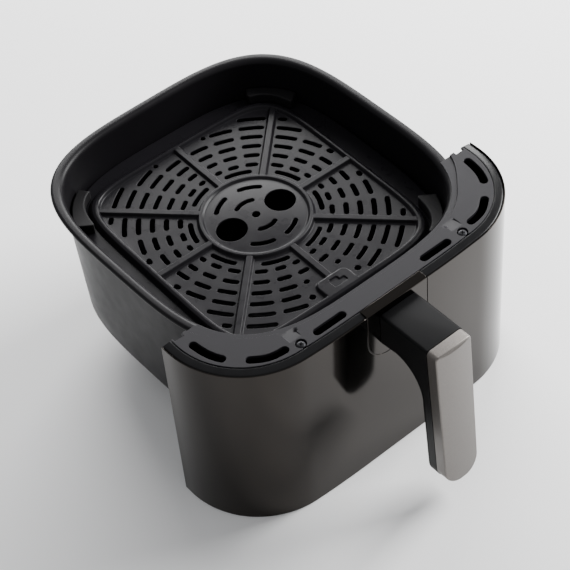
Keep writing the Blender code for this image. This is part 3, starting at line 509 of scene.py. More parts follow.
def bend_stations(limit=WING_LENGTH, spacing=2.0):
    count = int(2 * limit / spacing)
    return np.linspace(-limit, limit, count + 1)


# %% Sweeping and lofting
def loft_faces(rings, points_in_ring, closed=False):
    """Faces between rings of points; open lofts get a face at each end."""
    faces = []
    for r in range(rings if closed else rings - 1):
        low, high = r * points_in_ring, ((r + 1) % rings) * points_in_ring
        for i in range(points_in_ring):
            j = (i + 1) % points_in_ring
            faces.append([low + i, high + i, high + j, low + j])
    if not closed:
        last = (rings - 1) * points_in_ring
        faces.append(list(range(points_in_ring)))
        faces.append(list(range(last + points_in_ring - 1, last - 1, -1)))
    return faces


def outward(points, faces):
    """The faces in the order that makes them look out of the solid."""
    mesh = bpy.data.meshes.new("check")
    mesh.from_pydata(np.asarray(points, float).tolist(), [], faces)
    work = bmesh.new()
    work.from_mesh(mesh)
    volume = work.calc_volume(signed=True)
    work.free()
    bpy.data.meshes.remove(mesh)
    return faces if volume > 0 else [face[::-1] for face in faces]


def swept(profile, stations):
    """A profile of (inset, z) points carried along the fascia's curve."""
    rings = []
    for length in stations:
        ring = []
        for inset, z in profile:
            (x, y), _ = on_bend(length, inset)
            ring.append((x, y, z))
        rings.append(ring)
    points = [point for ring in rings for point in ring]
    return points, outward(points, loft_faces(len(rings), len(profile)))


def arc(centre, radius, start, stop, steps):
    """Points on an arc, with its angles in degrees."""
    turns = np.radians(np.linspace(start, stop, steps + 1))
    return [(centre[0] + radius * math.cos(t), centre[1] + radius * math.sin(t)) for t in turns]


# %% [markdown]
# ## The pan
#
# The real pan is drawn from one disc of steel, so every part of it runs smoothly into the next. It
# could be a cube with a bevel and a shell, but the rim is what catches the light: the wall bends
# outward and its edge is rolled under. So the wall's whole section is drawn once, and carried round the
# superellipse.

# %% Pan: its section and its loft
PAN_POWER = 3.6
PAN_SHEET = 1.2
PAN_TAPER = math.radians(2.0)
PAN_FILLET = 12.6
PAN_AROUND = 320               # points round the superellipse
RIM_WIDTH = 7.3
ROLL_RADIUS = 2.3
RIM_BEND = 4.3                 # radius of the bend from the wall into the rim
WALL_HALF_X = rim_high.x - RIM_WIDTH
WALL_HALF_Y = rim_high.y - RIM_WIDTH
PAN_BOTTOM = rim_low.z


def wall_half(z):
    """Half sizes of the outside of the pan's wall at a height."""
    inward = (RIM_Z - z) * math.tan(PAN_TAPER)
    return WALL_HALF_X - inward, WALL_HALF_Y - inward


def pan_section():
    """The wall's section as (outward, height), from the floor's inside over the rim to its underside."""
    inner = PAN_FILLET - PAN_SHEET
    section = arc((-PAN_SHEET - inner, PAN_BOTTOM + PAN_FILLET), inner, -90, 0, 10)
    heights = np.linspace(PAN_BOTTOM + PAN_FILLET, RIM_Z - RIM_BEND - 0.3, 8)[1:]
    section += [(-PAN_SHEET, z) for z in heights]
    bend = (RIM_BEND - PAN_SHEET, RIM_Z - RIM_BEND)
    section += arc(bend, RIM_BEND, 180, 90, 12)
    roll = (RIM_WIDTH - ROLL_RADIUS, RIM_Z - ROLL_RADIUS)
    section += arc(roll, ROLL_RADIUS, 90, -165, 22)
    section += arc(bend, RIM_BEND - PAN_SHEET, 90, 180, 8)
    section += [(0.0, z) for z in heights[::-1][1:]]
    section += arc((-PAN_FILLET, PAN_BOTTOM + PAN_FILLET), PAN_FILLET, 0, -90, 10)
    return section


def build_pan():
    section = pan_section()
    rings = []
    for grow, z in section:
        half_x, half_y = wall_half(min(z, RIM_Z - ROLL_RADIUS))
        ring = oval(half_x + grow, half_y + grow, PAN_POWER, PAN_AROUND)
        rings.append(np.column_stack([ring, np.full(len(ring), z)]))
    points = np.concatenate(rings)
    faces = outward(points, loft_faces(len(rings), PAN_AROUND))
    return piece_from("pan_shell", points, faces, pan_coating, "drawer", ["pan"], "pan_coating")


build_pan()

# %% [markdown]
# ## The crisper plate
#
# A coated sheet pressed in one stroke: a round bead, eight ribs that stiffen it, a bead along its
# border and a flange that drops to the bumpers. The slots are punched. A Boolean for each slot would
# leave rough shading, so the sheet maker cuts them out of the flat sheet, and one height formula does
# the pressing.

# %% Plate: sizes
PLATE_TURN = math.radians(-1.2)
BORDER_HALF_X = WALL_HALF_X - 27.7
BORDER_HALF_Y = WALL_HALF_Y - 26.1
BORDER_POWER = 6.5
BEAD_HEIGHT = 2.8
DOME_EDGE = 1.5                # the dome's edge lies this far below the round bead's crest
RING_RADIUS = 42.0
RING_HALF = 3.3
RING_TOP_HALF = 0.7
BORDER_TOP = 1.9
BORDER_IN = 3.0
BORDER_TOP_HALF = 0.9
BORDER_WALL = 3.6
BORDER_ROLL = 0.6              # the border bead's outer shoulder falls this far before the wall
FLANGE_DROP = 5.0              # a shallow shelf; the CAD solid's flange lies deeper
RIB_TOP_HALF = 1.9
RIB_HALF = 3.9
RIB_SHARE = 0.9                # the ribs' height as a share of the beads'
DOME = 1.3
PAD_HALF_X = 13.6
PAD_DEPTH = 16.0
PAD_CORNER = 5.0
PAD_SHARE = 0.97
PAD_SLOPE = 2.2
PAD_MARK = (                   # the pad's stepped recess is two boxes: middle x, y and half sizes
    (-0.5, 8.6, 3.4, 3.6),
    (3.2, 7.0, 4.2, 1.9),
)
MARK_CORNER = 0.8
MARK_SHARE = 0.42
PAD_HOLE_X = 21.5
PAD_HOLE_IN = 10.0
SLOT_HALF = 1.9
FIRST_ROW = 8.0                # the first row's distance outside the round bead
LONG_ROW = 15.5                # the same for the second row
ROW_STEP = 10.6
ROWS = 6
SLOT_TO_RIB = 4.6 + 1.3        # half a rib's foot, and the land beside it
SLOT_TO_SLOT = 6.9
SLOT_TO_BORDER = 4.6
SLOT_TO_PAD = (5.0, 8.2)
PAD_ROW_HALF = 26.5
FINGER_RADIUS = 11.9
FINGER_X = 23.3
CENTRE_RADIUS = 3.1
CENTRE_SLOTS = (               # radius as a share of the round bead's, and the two angles in degrees
    (0.726, 43, 80), (0.726, 100, 137), (0.726, -137, -100), (0.726, -83, -49),
    (0.381, 56, 124), (0.381, -124, -60),
)


# %% Plate: the height formula
def border_offset(x, y):
    """How far outside the border's crest line points lie; negative inside."""
    low = np.full(np.shape(x), -0.98 * BORDER_HALF_X)
    high = np.full(np.shape(x), 60.0)
    for _ in range(30):
        middle = (low + high) / 2
        across = np.abs(x / (BORDER_HALF_X + middle)) ** BORDER_POWER
        along = np.abs(y / (BORDER_HALF_Y + middle)) ** BORDER_POWER
        outside = across + along > 1
        low = np.where(outside, middle, low)
        high = np.where(outside, high, middle)
    return (low + high) / 2


def swell(distance, flat_half, half):
    """1 on a bead's top, falling smoothly to 0 at its foot."""
    share = np.clip((np.abs(distance) - flat_half) / (half - flat_half), 0, 1)
    return 0.5 + 0.5 * np.cos(math.pi * share)


def rounded_box(x, y, half_x, half_y, radius):
    """Distance outside a rectangle with round corners; negative inside."""
    over_x = np.abs(x) - half_x + radius
    over_y = np.abs(y) - half_y + radius
    beyond = np.hypot(np.maximum(over_x, 0), np.maximum(over_y, 0))
    return beyond + np.minimum(np.maximum(over_x, over_y), 0) - radius


def plate_height(x, y):
    offset = border_offset(x, y)
    radius = np.hypot(x, y)
    raised = swell(radius - RING_RADIUS, RING_TOP_HALF, RING_HALF)
    raised = np.maximum(raised, swell(np.minimum(offset, 0), BORDER_TOP_HALF, BORDER_IN))
    for i in range(4):
        angle = math.pi / 4 * i
        across = y * math.cos(angle) - x * math.sin(angle)
        rib = swell(across, RIB_TOP_HALF, RIB_HALF) * (radius > RING_RADIUS)
        raised = np.maximum(raised, RIB_SHARE * rib)
    pad_y = y + BORDER_HALF_Y
    pad = rounded_box(x, pad_y, PAD_HALF_X, PAD_DEPTH, PAD_CORNER)
    raised = np.maximum(raised, PAD_SHARE * swell(np.maximum(pad, 0), 0.1, PAD_SLOPE))
    mark = [
        rounded_box(x - mark_x, pad_y - mark_y, half_x, half_y, MARK_CORNER)
        for mark_x, mark_y, half_x, half_y in PAD_MARK
    ]
    raised = raised - MARK_SHARE * swell(np.maximum(np.minimum(*mark), 0), 0.1, 0.8)
    height = -np.where(radius < RING_RADIUS, DOME_EDGE, BEAD_HEIGHT) * (1 - raised)
    inner = RING_RADIUS - RING_HALF
    dome = DOME * (1 - np.clip(radius / inner, 0, 1) ** 2)
    height = np.where(radius < inner, height + dome, height)
    fall = 1 - swell(np.maximum(offset - BORDER_TOP, 0), 0, BORDER_WALL)
    drop = BORDER_ROLL * np.clip(offset / BORDER_TOP, 0, 1) ** 2 + (FLANGE_DROP - BORDER_ROLL) * fall
    return PLATE_Z - 0.05 + np.where(offset > 0, -drop, height)


# %% Plate: slots
def round_slot(line, half, end_points=7):
    """A closed outline around a line of points, with half circles at its ends."""
    line = np.asarray(line, float)
    along = np.gradient(line, axis=0)
    along /= np.linalg.norm(along, axis=1, keepdims=True)
    left = np.stack([-along[:, 1], along[:, 0]], 1) * half
    outline = list(line - left)
    for centre, start in ((line[-1], -left[-1]), (line[0], left[0])):
        for k in range(1, end_points):
            turn = math.pi * k / end_points
            cos, sin = math.cos(turn), math.sin(turn)
            outline.append(centre + (start[0] * cos - start[1] * sin, start[0] * sin + start[1] * cos))
        if len(outline) < 2 * len(line) + end_points - 1:
            outline += list((line + left)[::-1])
    return np.array(outline)


def polar_slot(radius, start, stop, half=SLOT_HALF):
    """A slot along an arc about the plate's centre; its tips lie at the two angles."""
    tip = half / radius
    count = max(2, int((stop - start) * radius / 2.5))
    turns = np.linspace(start + tip, max(stop - tip, start + 1.05 * tip), count)
    line = np.stack([radius * np.cos(turns), radius * np.sin(turns)], 1)
    return round_slot(line, half)


def circle(radius, count, centre=(0.0, 0.0)):
    turn = np.linspace(0, 2 * math.pi, count, endpoint=False)
    return np.stack([centre[0] + radius * np.cos(turn), centre[1] + radius * np.sin(turn)], 1)


def slot_rows():
    """Slots of one sector as (radius, start, end), in radians from a corner rib."""
    rows = [(RING_RADIUS + FIRST_ROW, math.radians(11.5) - 0.02, math.radians(34.6) + 0.02)]
    for row in range(ROWS):
        radius = RING_RADIUS + LONG_ROW + ROW_STEP * row
        rib = SLOT_TO_RIB / radius
        between = SLOT_TO_SLOT / radius
        stops = (math.radians(14.1), math.radians(28.0), math.pi / 4 - rib)
        starts = (rib, stops[0] + between, stops[1] + between)
        tip = 0.45 * SLOT_HALF / radius
        rows += [(radius, start - tip, stop + tip) for start, stop in zip(starts, stops)]
    return rows


def clear_of_beads(x, y):
    """True where a slot may run."""
    inside = border_offset(x, y) < -SLOT_TO_BORDER
    pad_start = BORDER_HALF_Y - PAD_DEPTH - SLOT_TO_PAD[1]
    by_pad = abs(x) < PAD_HALF_X + SLOT_TO_PAD[0] and y < -pad_start
    below_row = abs(x) < PAD_ROW_HALF and y < -(pad_start + 4.0)
    return bool(inside) and not by_pad and not below_row


def plate_holes():
    holes = []
    step = math.radians(0.5)
    for corner in range(4):
        middle = math.pi / 4 + corner * math.pi / 2
        for side in (-1, 1):
            for radius, start, stop in slot_rows():
                def inside(turn):
                    angle = middle + side * turn
                    return clear_of_beads(radius * math.cos(angle), radius * math.sin(angle))

                while stop - start > step and not inside(stop):
                    stop -= step
                while stop - start > step and not inside(start):
                    start += step
                low, high = sorted((middle + side * start, middle + side * stop))
                if (high - low) * radius > 2.4 * SLOT_HALF:
                    holes.append(polar_slot(radius, low, high))
                elif inside(stop):
                    mid = (low + high) / 2
                    centre = (radius * math.cos(mid), radius * math.sin(mid))
                    holes.append(circle(SLOT_HALF, 16, centre))
    for side in (-1, 1):
        holes.append(circle(1.3 * SLOT_HALF, 20, (side * PAD_HOLE_X, PAD_HOLE_IN - BORDER_HALF_Y)))
        holes.append(circle(FINGER_RADIUS, 64, (side * FINGER_X, 0.0)))
    for share, start, stop in CENTRE_SLOTS:
        holes.append(polar_slot(share * RING_RADIUS, math.radians(start), math.radians(stop)))
    holes.append(circle(CENTRE_RADIUS, 24))
    return holes


# %% Plate: the sheet
def ring_line(radius, count=180):
    loop = circle(radius, count)
    return np.vstack([loop, loop[:1]])


def border_line(offset, count=220):
    loop = oval(BORDER_HALF_X + offset, BORDER_HALF_Y + offset, BORDER_POWER, count)
    return np.vstack([loop, loop[:1]])


def plate_lines():
    """Lines that the triangles follow, so that every bead gets a smooth section."""
    lines = [ring_line(RING_RADIUS + off) for off in np.linspace(-RING_HALF, RING_HALF, 11)]
    lines += [ring_line(radius, 96) for radius in (36.4, 34.6)]
    lines += [border_line(off) for off in (-3.0, -2.4, -1.8, -1.2, -0.6, 0.0, 0.6, 1.3, 1.9)]
    lines += [border_line(BORDER_TOP + off) for off in np.linspace(0.6, BORDER_WALL, 8)]
    for i in range(8):
        angle = math.pi / 4 * i
        end = oval_radius(angle, BORDER_HALF_X, BORDER_HALF_Y, BORDER_POWER) - 1.4
        slope = np.linspace(RIB_TOP_HALF - 0.1, RIB_HALF + 0.1, 6)
        for across in (*-slope[::-1], 0.0, *slope):
            along = np.linspace(RING_RADIUS + 1.0, end, 24)
            x = along * math.cos(angle) - across * math.sin(angle)
            y = along * math.sin(angle) + across * math.cos(angle)
            lines.append(np.stack([x, y], 1))
    for y in np.arange(0.8, PAD_DEPTH + 3.6, 0.7):
        lines.append(np.stack([np.linspace(-16.8, 16.8, 57), np.full(57, y - BORDER_HALF_Y)], 1))
    return lines


def build_plate():
    wall_x, wall_y = wall_half(PLATE_Z - FLANGE_DROP)
    clear = PAN_SHEET + 3.2
    outline = oval(wall_x - clear, wall_y - clear, PAN_POWER, 240)
    flat_surface = pressed(plate_height)
    cos, sin = math.cos(PLATE_TURN), math.sin(PLATE_TURN)
    turn = np.array([[cos, sin, 0], [-sin, cos, 0], [0, 0, 1]])

    def surface(uv):
        points, normals = flat_surface(uv)
        return points @ turn, normals @ turn

    return sheet(
        "crisper_plate_pressed", outline, plate_holes(), plate_lines(), surface, 1.4, 0.5,
        plate_coating, "tray", ["crisper_plate"], "plate_coating",
    )


build_plate()

# %% [markdown]
# ## The bumpers
#
# Four moulded silicone blocks sit on the plate's flange at its corners and wedge it in the pan. Each
# one is a thick piece with soft edges, so the sheet maker does them as well. They start at the flange
# drawn here, which lies higher than the CAD solid's.


# %% Bumpers
def build_bumper(name, corner):
    """A curved block between the plate's border wall and the pan's wall."""
    low, high = drawn_box(name)
    foot = max(low.z, PLATE_Z - FLANGE_DROP + GAP)
    middle = math.pi / 4 + corner * math.pi / 2
    turns = np.linspace(-math.radians(8.5), math.radians(8.5), 25)
    pan_x, pan_y = wall_half(low.z)
    clear = PAN_SHEET + 0.9
    inner, outer = [], []
    for turn in turns:
        angle = middle + turn
        far = oval_radius(angle, pan_x - clear, pan_y - clear, PAN_POWER)
        grown = BORDER_TOP + BORDER_WALL + 0.9
        near = oval_radius(
            angle - PLATE_TURN, BORDER_HALF_X + grown, BORDER_HALF_Y + grown, BORDER_POWER
        )
        inner.append((near * math.cos(angle), near * math.sin(angle)))
        outer.append((far * math.cos(angle), far * math.sin(angle)))
    outline = np.array(inner + outer[::-1])

    def top(x, y):
        return np.full_like(x, high.z - 0.1)

    return sheet(
        name + "_block", outline, [], [], pressed(top), high.z - foot - 0.2, 1.3, silicone, "tray",
        [name], "silicone",
    )


for corner, name in enumerate(
    ("bumper_rear_right", "bumper_rear_left", "bumper_front_left", "bumper_front_right")
):
    build_bumper(name, corner)

# %% [markdown]
# ## The fascia's skin
#
# The steel sheet is cut flat, with a pocket for the handle's mount plate, and then bent. The sheet
# maker does the same: its flat pattern has the length along the bend across and the height up.


# %% Skin
SKIN_SHEET = 1.0
LEDGE_WIDTH = 6.7
LEDGE_INSET = SKIN_SHEET + GAP + LEDGE_WIDTH
TONGUE_RADIUS = 20.0


def tongue_outline(grow, top):
    """Front view of the handle's mount plate, grown by a clearance."""
    half = TONGUE_HALF + grow
    bottom = tongue_low.z - grow
    radius = TONGUE_RADIUS + grow
    low_left = arc((-half + radius, bottom + radius), radius, 180, 270, 12)
    low_right = arc((half - radius, bottom + radius), radius, 270, 360, 12)
    return [(-half, top)] + low_left + low_right + [(half, top)]


def bent(uv):
    """Surface of the fascia's outer face: length along the bend, and height."""
    points, normals = on_bend(uv[:, 0])
    flat = np.zeros((len(uv), 1))
    return np.column_stack([points, uv[:, 1]]), np.column_stack([normals, flat])


def along_bend(start, stop, z, spacing=2.5):
    """Outline points at one height, close enough together for a long edge to follow the bend."""
    count = int(abs(stop - start) / spacing)
    return [(length, z) for length in np.linspace(start, stop, count + 1)]


def build_skin():
    top = skin_high.z
    pocket = tongue_outline(GAP, top)
    pocket_half = TONGUE_HALF + GAP
    outline = along_bend(-WING_LENGTH, WING_LENGTH, 0.0)
    outline += along_bend(WING_LENGTH, pocket_half, top)[:-1] + pocket[::-1]
    outline += along_bend(-pocket_half, -WING_LENGTH, top)[1:]
    lines = []
    for length in bend_stations(WING_LENGTH - 1.0, 2.5):
        stop = top - 0.8
        if abs(length) < TONGUE_HALF + 1.5:
            edge_x = max(abs(length) - (TONGUE_HALF - TONGUE_RADIUS), 0.0)
            reach = math.sqrt(max((TONGUE_RADIUS + 1.5) ** 2 - edge_x**2, 0.0))
            stop = tongue_low.z + TONGUE_RADIUS - reach - 1.0
        lines.append([(length, z) for z in np.linspace(0.8, stop, 6)])
    return sheet(
        "fascia_skin_bent", outline, [], lines, bent, SKIN_SHEET - 0.1, 0.4, tinted_steel, "drawer",
        ["fascia_skin"], "tinted_steel",
    )


build_skin()

# %% [markdown]
# ## The fascia's frame
#
# A black moulding carries the skin. Its ledge shows as a glossy band round the bezel, and its flange
# closes the skin's lower edge. Its section is swept along the bend, and the ledge is cut away where
# the handle's mount plate hooks over it.


# %% Booleans on finished meshes
def boolean(target, cutter_points, cutter_faces, operation="DIFFERENCE"):
    """Applies one Boolean to a piece and throws the cutter away."""
    mesh = bpy.data.meshes.new("cutter")
    mesh.from_pydata(
        (np.asarray(cutter_points, float) * MM + np.array(PAN_CENTRE)).tolist(), [], cutter_faces
    )
    cutter = bpy.data.objects.new("cutter", mesh)
    bpy.context.scene.collection.objects.link(cutter)
    modifier = target.modifiers.new("cut", "BOOLEAN")
    modifier.operation = operation
    modifier.solver = "EXACT"
    modifier.object = cutter
    bpy.context.view_layer.update()
    graph = bpy.context.evaluated_depsgraph_get()
    finished = bpy.data.meshes.new_from_object(target.evaluated_get(graph))
    target.modifiers.clear()
    target.data = finished
    bpy.data.objects.remove(cutter)
    bpy.data.meshes.remove(mesh)


def prism(outline, low, high, axis="Z"):
    """An outline extruded from low to high. Along Y the outline is (x, z), along X (y, z)."""
    turn = {
        "Z": lambda u, v, w: (u, v, w),
        "Y": lambda u, v, w: (u, w, v),
        "X": lambda u, v, w: (w, u, v),
    }[axis]
    points = [turn(u, v, low) for u, v in outline] + [turn(u, v, high) for u, v in outline]
    return points, outward(points, loft_faces(2, len(outline)))


def block(low, high):
    corners = [(low[0], low[1]), (high[0], low[1]), (high[0], high[1]), (low[0], high[1])]
    return prism(corners, low[2], high[2])


# %% Frame
FRAME_WALL = 2.5
FRAME_FLANGE = 10.7
FLANGE_SHEET = 2.5
LEDGE_SHEET = 1.8


def build_frame():
    out = SKIN_SHEET + GAP
    wall = out + FRAME_WALL
    ledge = skin_high.z
    profile = [(out, 0.0)]
    profile += arc((out + 1.5, ledge - 1.9), 1.5, 180, 100, 6)
    profile += [(out + 3.0, ledge - 0.2), (LEDGE_INSET - 1.2, ledge + 0.28)]
    profile += arc((LEDGE_INSET - 0.5, ledge - 0.2), 0.5, 90, 0, 4)
    profile += [(LEDGE_INSET, ledge - LEDGE_SHEET), (wall, ledge - LEDGE_SHEET), (wall, FLANGE_SHEET)]
    profile += [(out + FRAME_FLANGE, FLANGE_SHEET), (out + FRAME_FLANGE, 0.0)]
    points, faces = swept(profile, bend_stations())
    made = piece_from(
        "fascia_frame_moulding", points, faces, gloss_black, "drawer", ["fascia_frame"],
        "black_plastic", sharp=40.0,
    )
    half = TONGUE_HALF + GAP
    boolean(made, *block((-half, -FRONT_Y - 5, ledge - 2.6), (half, -FRONT_Y + 9.5, ledge + 5)))
    pocket = tongue_outline(GAP, ledge + 4)
    boolean(made, *prism(pocket, -FRONT_Y - 5, -FRONT_Y + 2.3, "Y"))
    return made


build_frame()

# %% [markdown]
# ## The bezel
#
# The bezel closes the gap between pan and fascia, and its lower inner lip lies over the pan's rim. Warm
# air rises through its six slots. Two wedge shaped ramps guide the pan, and two screws sit in round
# wells. All of that is again one sheet with holes and a height formula.

# %% Bezel: sizes
BEZEL_OUT = LEDGE_INSET + GAP
SCREW_X = 0.518 * FASCIA_HALF
SCREW_Y = -(FRONT_Y - BEZEL_OUT - 7.0 + 1.3)  # 5.7 behind the bezel's front edge
RAMP_Y = SCREW_Y - 3.5 + 9.0   # the ramps start 5.5 behind the screws
RAMP_HALF = 5.25
RAMP_RUN = 19.0
RAMP_DROP = 2.4
BEZEL_SHEET = 2.5
LIP_COVER = 1.2                # the lip's edge lies this far outside the pan's wall
LIP_DROP = 1.3
RISER_FRONT = 2.9              # in front, the raised part reaches this far over the rim
RISER_WING = 2.9               # at the wings, the lip ends this far outside the rim
RISER_RUN = 30.0
VENT_HALF = 3.2
VENTS = (                      # left slots' middle lines: in from the side, back from the front
    ((16.7, 63.5), (17.6, 56.2), (19.4, 48.7), (23.0, 40.8)),
    ((36.4, 26.5), (42.0, 22.3), (48.5, 19.0), (59.1, 17.3)),
)
FRONT_VENT = (0.415, 0.264)    # its ends, as shares of the fascia's half width
FRONT_VENT_BACK = 14.3
WELL_RADIUS = 4.1
NOTCH = (10.0, 17.6)           # the end notches run between these distances from the side
NOTCH_DEPTH = 2.9


# %% Bezel: outline, slots and heights
def rim_curve(grow, count):
    """The part of a curve round the pan that lies between the wings, left to right."""
    half_x, half_y = WALL_HALF_X + grow, WALL_HALF_Y + grow
    reach = (1 - (WING_END_Y / half_y) ** PAN_POWER) ** (1 / PAN_POWER) * half_x
    start = math.atan2(WING_END_Y, reach)
    angle = np.linspace(math.pi + start, 2 * math.pi - start, count)
    radius = oval_radius(angle, half_x, half_y, PAN_POWER)
    return np.stack([radius * np.cos(angle), radius * np.sin(angle)], 1)


def smooth_line(points, count):
    """A smooth line through a few points, by one polynomial along its length."""
    points = np.asarray(points, float)
    share = np.linspace(0, 1, len(points))
    fine = np.linspace(0, 1, count)
    degree = len(points) - 1
    x = np.polyval(np.polyfit(share, points[:, 0], degree), fine)
    y = np.polyval(np.polyfit(share, points[:, 1], degree), fine)
    return np.stack([x, y], 1)


def vent_slots():
    side, front = -FASCIA_HALF, -FRONT_Y
    lines = [[(side + across, front + back) for across, back in line] for line in VENTS]
    lines.append([(share * side, front + FRONT_VENT_BACK) for share in FRONT_VENT])
    slots = []
    for line in lines:
        fine = smooth_line(line, 14)
        for mirror in (1, -1):
            slots.append(round_slot(fine * (mirror, 1), VENT_HALF, 10))
    return slots


def rim_distance(x, y):
    """Distance of points outside the rolled edge of the pan, in plan."""
    angle = np.arctan2(y, x)
    edge = oval_radius(angle, rim_high.x, rim_high.y, PAN_POWER)
    return np.hypot(x, y) - edge


def riser_distance(x, y):
    """Distance of points outside the riser between the lip and the raised part."""
    share = 1 - eased(-y, WING_END_Y, RISER_RUN)
    return rim_distance(x, y) + RISER_FRONT - (RISER_FRONT + RISER_WING) * share


def over_rim(x, y):
    """1 where the bezel lies over the pan's rim, 0 beside it."""
    return 1 - eased(rim_distance(x, y), 0.3, 0.3)


def bezel_height(x, y):
    """Top face of the bezel: level, with the two ramps and the lower lip over the pan's rim."""
    height = np.full_like(x, TOP_Z - 0.02)
    beside = np.abs(np.abs(x) - SCREW_X)
    run = np.clip((y - RAMP_Y) / RAMP_RUN, 0, 1)
    ramp = RAMP_DROP * run * (1 - eased(beside, RAMP_HALF - 0.6, 0.7))
    lip = LIP_DROP * (1 - eased(riser_distance(x, y), -0.35, 0.7))
    ramp = np.where(over_rim(x, y) > 0, np.minimum(ramp, LIP_DROP), ramp)
    return height - np.maximum(ramp, lip)


def bezel_depth(uv):
    """Thickness: full beside the pan, and thin where the bezel lies over the pan's rim."""
    x, y = uv[:, 0], uv[:, 1]
    thin = bezel_height(x, y) - (RIM_Z + 0.12)
    return BEZEL_SHEET + (thin - BEZEL_SHEET) * over_rim(x, y)


def bezel_outline():
    outer, _ = on_bend(bend_stations(WING_LENGTH, 2.0), BEZEL_OUT)
    inner = rim_curve(LIP_COVER, 150)
    near, far = (FASCIA_HALF - inward for inward in NOTCH)
    wing = -WING_END_Y
    foot = wing - NOTCH_DEPTH
    right_notch = [(near, wing), (near, foot), (far, foot), (far, wing)]
    left_notch = [(-x, y) for x, y in reversed(right_notch)]
    return np.vstack([outer, right_notch, inner[::-1], left_notch])


def riser_line(off, count=140):
    """A line that keeps one distance from the riser, found by halving along rays from the pan's axis."""
    base = rim_curve(RIM_WIDTH + RISER_WING, count)
    ray = base / np.linalg.norm(base, axis=1, keepdims=True)
    low = np.full(len(base), -RIM_WIDTH - RISER_WING)
    high = np.full(len(base), 3.0)
    for _ in range(24):
        middle = (low + high) / 2
        place = base + ray * middle[:, None]
        outside = riser_distance(place[:, 0], place[:, 1]) > off
        high = np.where(outside, middle, high)
        low = np.where(outside, low, middle)
    return base + ray * middle[:, None]


# %% Bezel: the sheet
def build_bezel():
    wells = [circle(WELL_RADIUS, 28, (side * SCREW_X, SCREW_Y)) for side in (-1, 1)]
    lines = [rim_curve(RIM_WIDTH + off, 140)[3:-3] for off in (0.25, 0.6)]
    lines += [riser_line(off) for off in (-0.4, -0.1, 0.15, 0.4)]
    for side in (-1, 1):
        for across in (-5.4, -4.9, -4.4, 0, 4.4, 4.9, 5.4):
            x = side * SCREW_X + across
            stop = RAMP_Y + RAMP_RUN
            line = [(x, y) for y in np.linspace(RAMP_Y - 1.5, stop, 24)]
            lines.append([point for point in line if rim_distance(*point) > 1.3])
        lines.append([(side * SCREW_X - 6, RAMP_Y), (side * SCREW_X + 6, RAMP_Y)])
    return sheet(
        "top_bezel_moulding", bezel_outline(), vent_slots() + wells, lines, pressed(bezel_height),
        bezel_depth, 0.4, grained_grey, "drawer", ["top_bezel"], "bezel_plastic",
    )


build_bezel()

# %% [markdown]
# ## The handle's mount plate
#
# A tongue of the same tinted steel lies in the skin's pocket and folds over the ledge. Its flat pattern
# runs from the ledge's back edge over a tight bend and down the front.

# %% Mount plate
FOLD_RADIUS = 1.6


def folded(uv):
    """Surface of the tongue: across, and length from the fold's start; negative lies on the ledge."""
    x, run = uv[:, 0], uv[:, 1]
    turn = np.clip(run / FOLD_RADIUS, 0, math.pi / 2)
    before = np.minimum(run, 0)
    after = np.maximum(run - FOLD_RADIUS * math.pi / 2, 0)
    y = -FRONT_Y + FOLD_RADIUS - before - FOLD_RADIUS * np.sin(turn)
    z = TOP_Z - 0.03 - FOLD_RADIUS * (1 - np.cos(turn)) - after
    flat = np.zeros_like(x)
    return np.stack([x, y, z], 1), np.stack([flat, -np.sin(turn), np.cos(turn)], 1)


def build_tongue():
    half = TONGUE_HALF - 0.1
    fold = FOLD_RADIUS * math.pi / 2
    down = TOP_Z - FOLD_RADIUS - tongue_low.z + fold
    lip = -(LEDGE_INSET - FOLD_RADIUS - 0.1)
    corner = TONGUE_RADIUS
    outline = [(-half, lip), (-half, 0.0), (-half, fold)]
    outline += arc((-half + corner, down - corner), corner, 180, 90, 16)
    outline += arc((half - corner, down - corner), corner, 90, 0, 16)
    outline += [(half, fold), (half, 0.0), (half, lip)]
    lines = [[(-half + 1, run), (half - 1, run)] for run in np.linspace(0, fold, 7)]
    return sheet(
        "handle_mount_tongue", outline, [], lines, folded, 1.2, 0.35, tinted_steel, "drawer",
        ["handle_mount_plate"], "tinted_steel",
    )


build_tongue()

# %% [markdown]
# ## The handle
#
# Arm and grip are one black moulding that flows from level to upright. A cover closes it from behind,
# and the painted cap lies on its front. The body is a side view cut with a front view, whose long edges
# are then rounded. That keeps the two flowing faces exact, which a box bent along a path would not.


# %% Rounding chosen edges
def rounded(target, radius, choose, segments=5):
    """Rounds the edges of a piece that choose(middle, angle) picks, in drawing millimetres."""
    work = bmesh.new()
    work.from_mesh(target.data)
    bmesh.ops.dissolve_degenerate(work, dist=1e-6, edges=work.edges)
    picked = []
    for edge in work.edges:
        if len(edge.link_faces) != 2:
            continue
        middle = ((edge.verts[0].co + edge.verts[1].co) / 2 - PAN_CENTRE) / MM
        if choose(middle, math.degrees(edge.calc_face_angle(0.0))):
            picked.append(edge)
    bmesh.ops.bevel(
        work, geom=picked, offset=radius * MM, segments=segments, profile=0.5, affect="EDGES",
        clamp_overlap=True,
    )
    work.to_mesh(target.data)
    work.free()
    target.data.shade_smooth()
    target.data.set_sharp_from_angle(angle=math.radians(35.0))


# %% Handle: the side view
ARM_TOP = body_high.z
ARM_HEIGHT = 28.4
ARM_START = -(FRONT_Y + GAP)
ARM_FRONT = FRONT_Y + 45.7
GRIP_FOOT = body_low.z
GRIP_TILT = math.radians(4.4)
GRIP_DEPTH = 9.4
COVER_WALL = 3.0
HANDLE_HALF = body_high.x
FOOT_HALF = HANDLE_HALF - 0.8  # the sides come in slightly towards the foot
FOOT_RADIUS = 14.0
EDGE_RADIUS = 2.2


def grip_front(z):
    return -(ARM_FRONT + (ARM_TOP - z) * math.tan(GRIP_TILT))


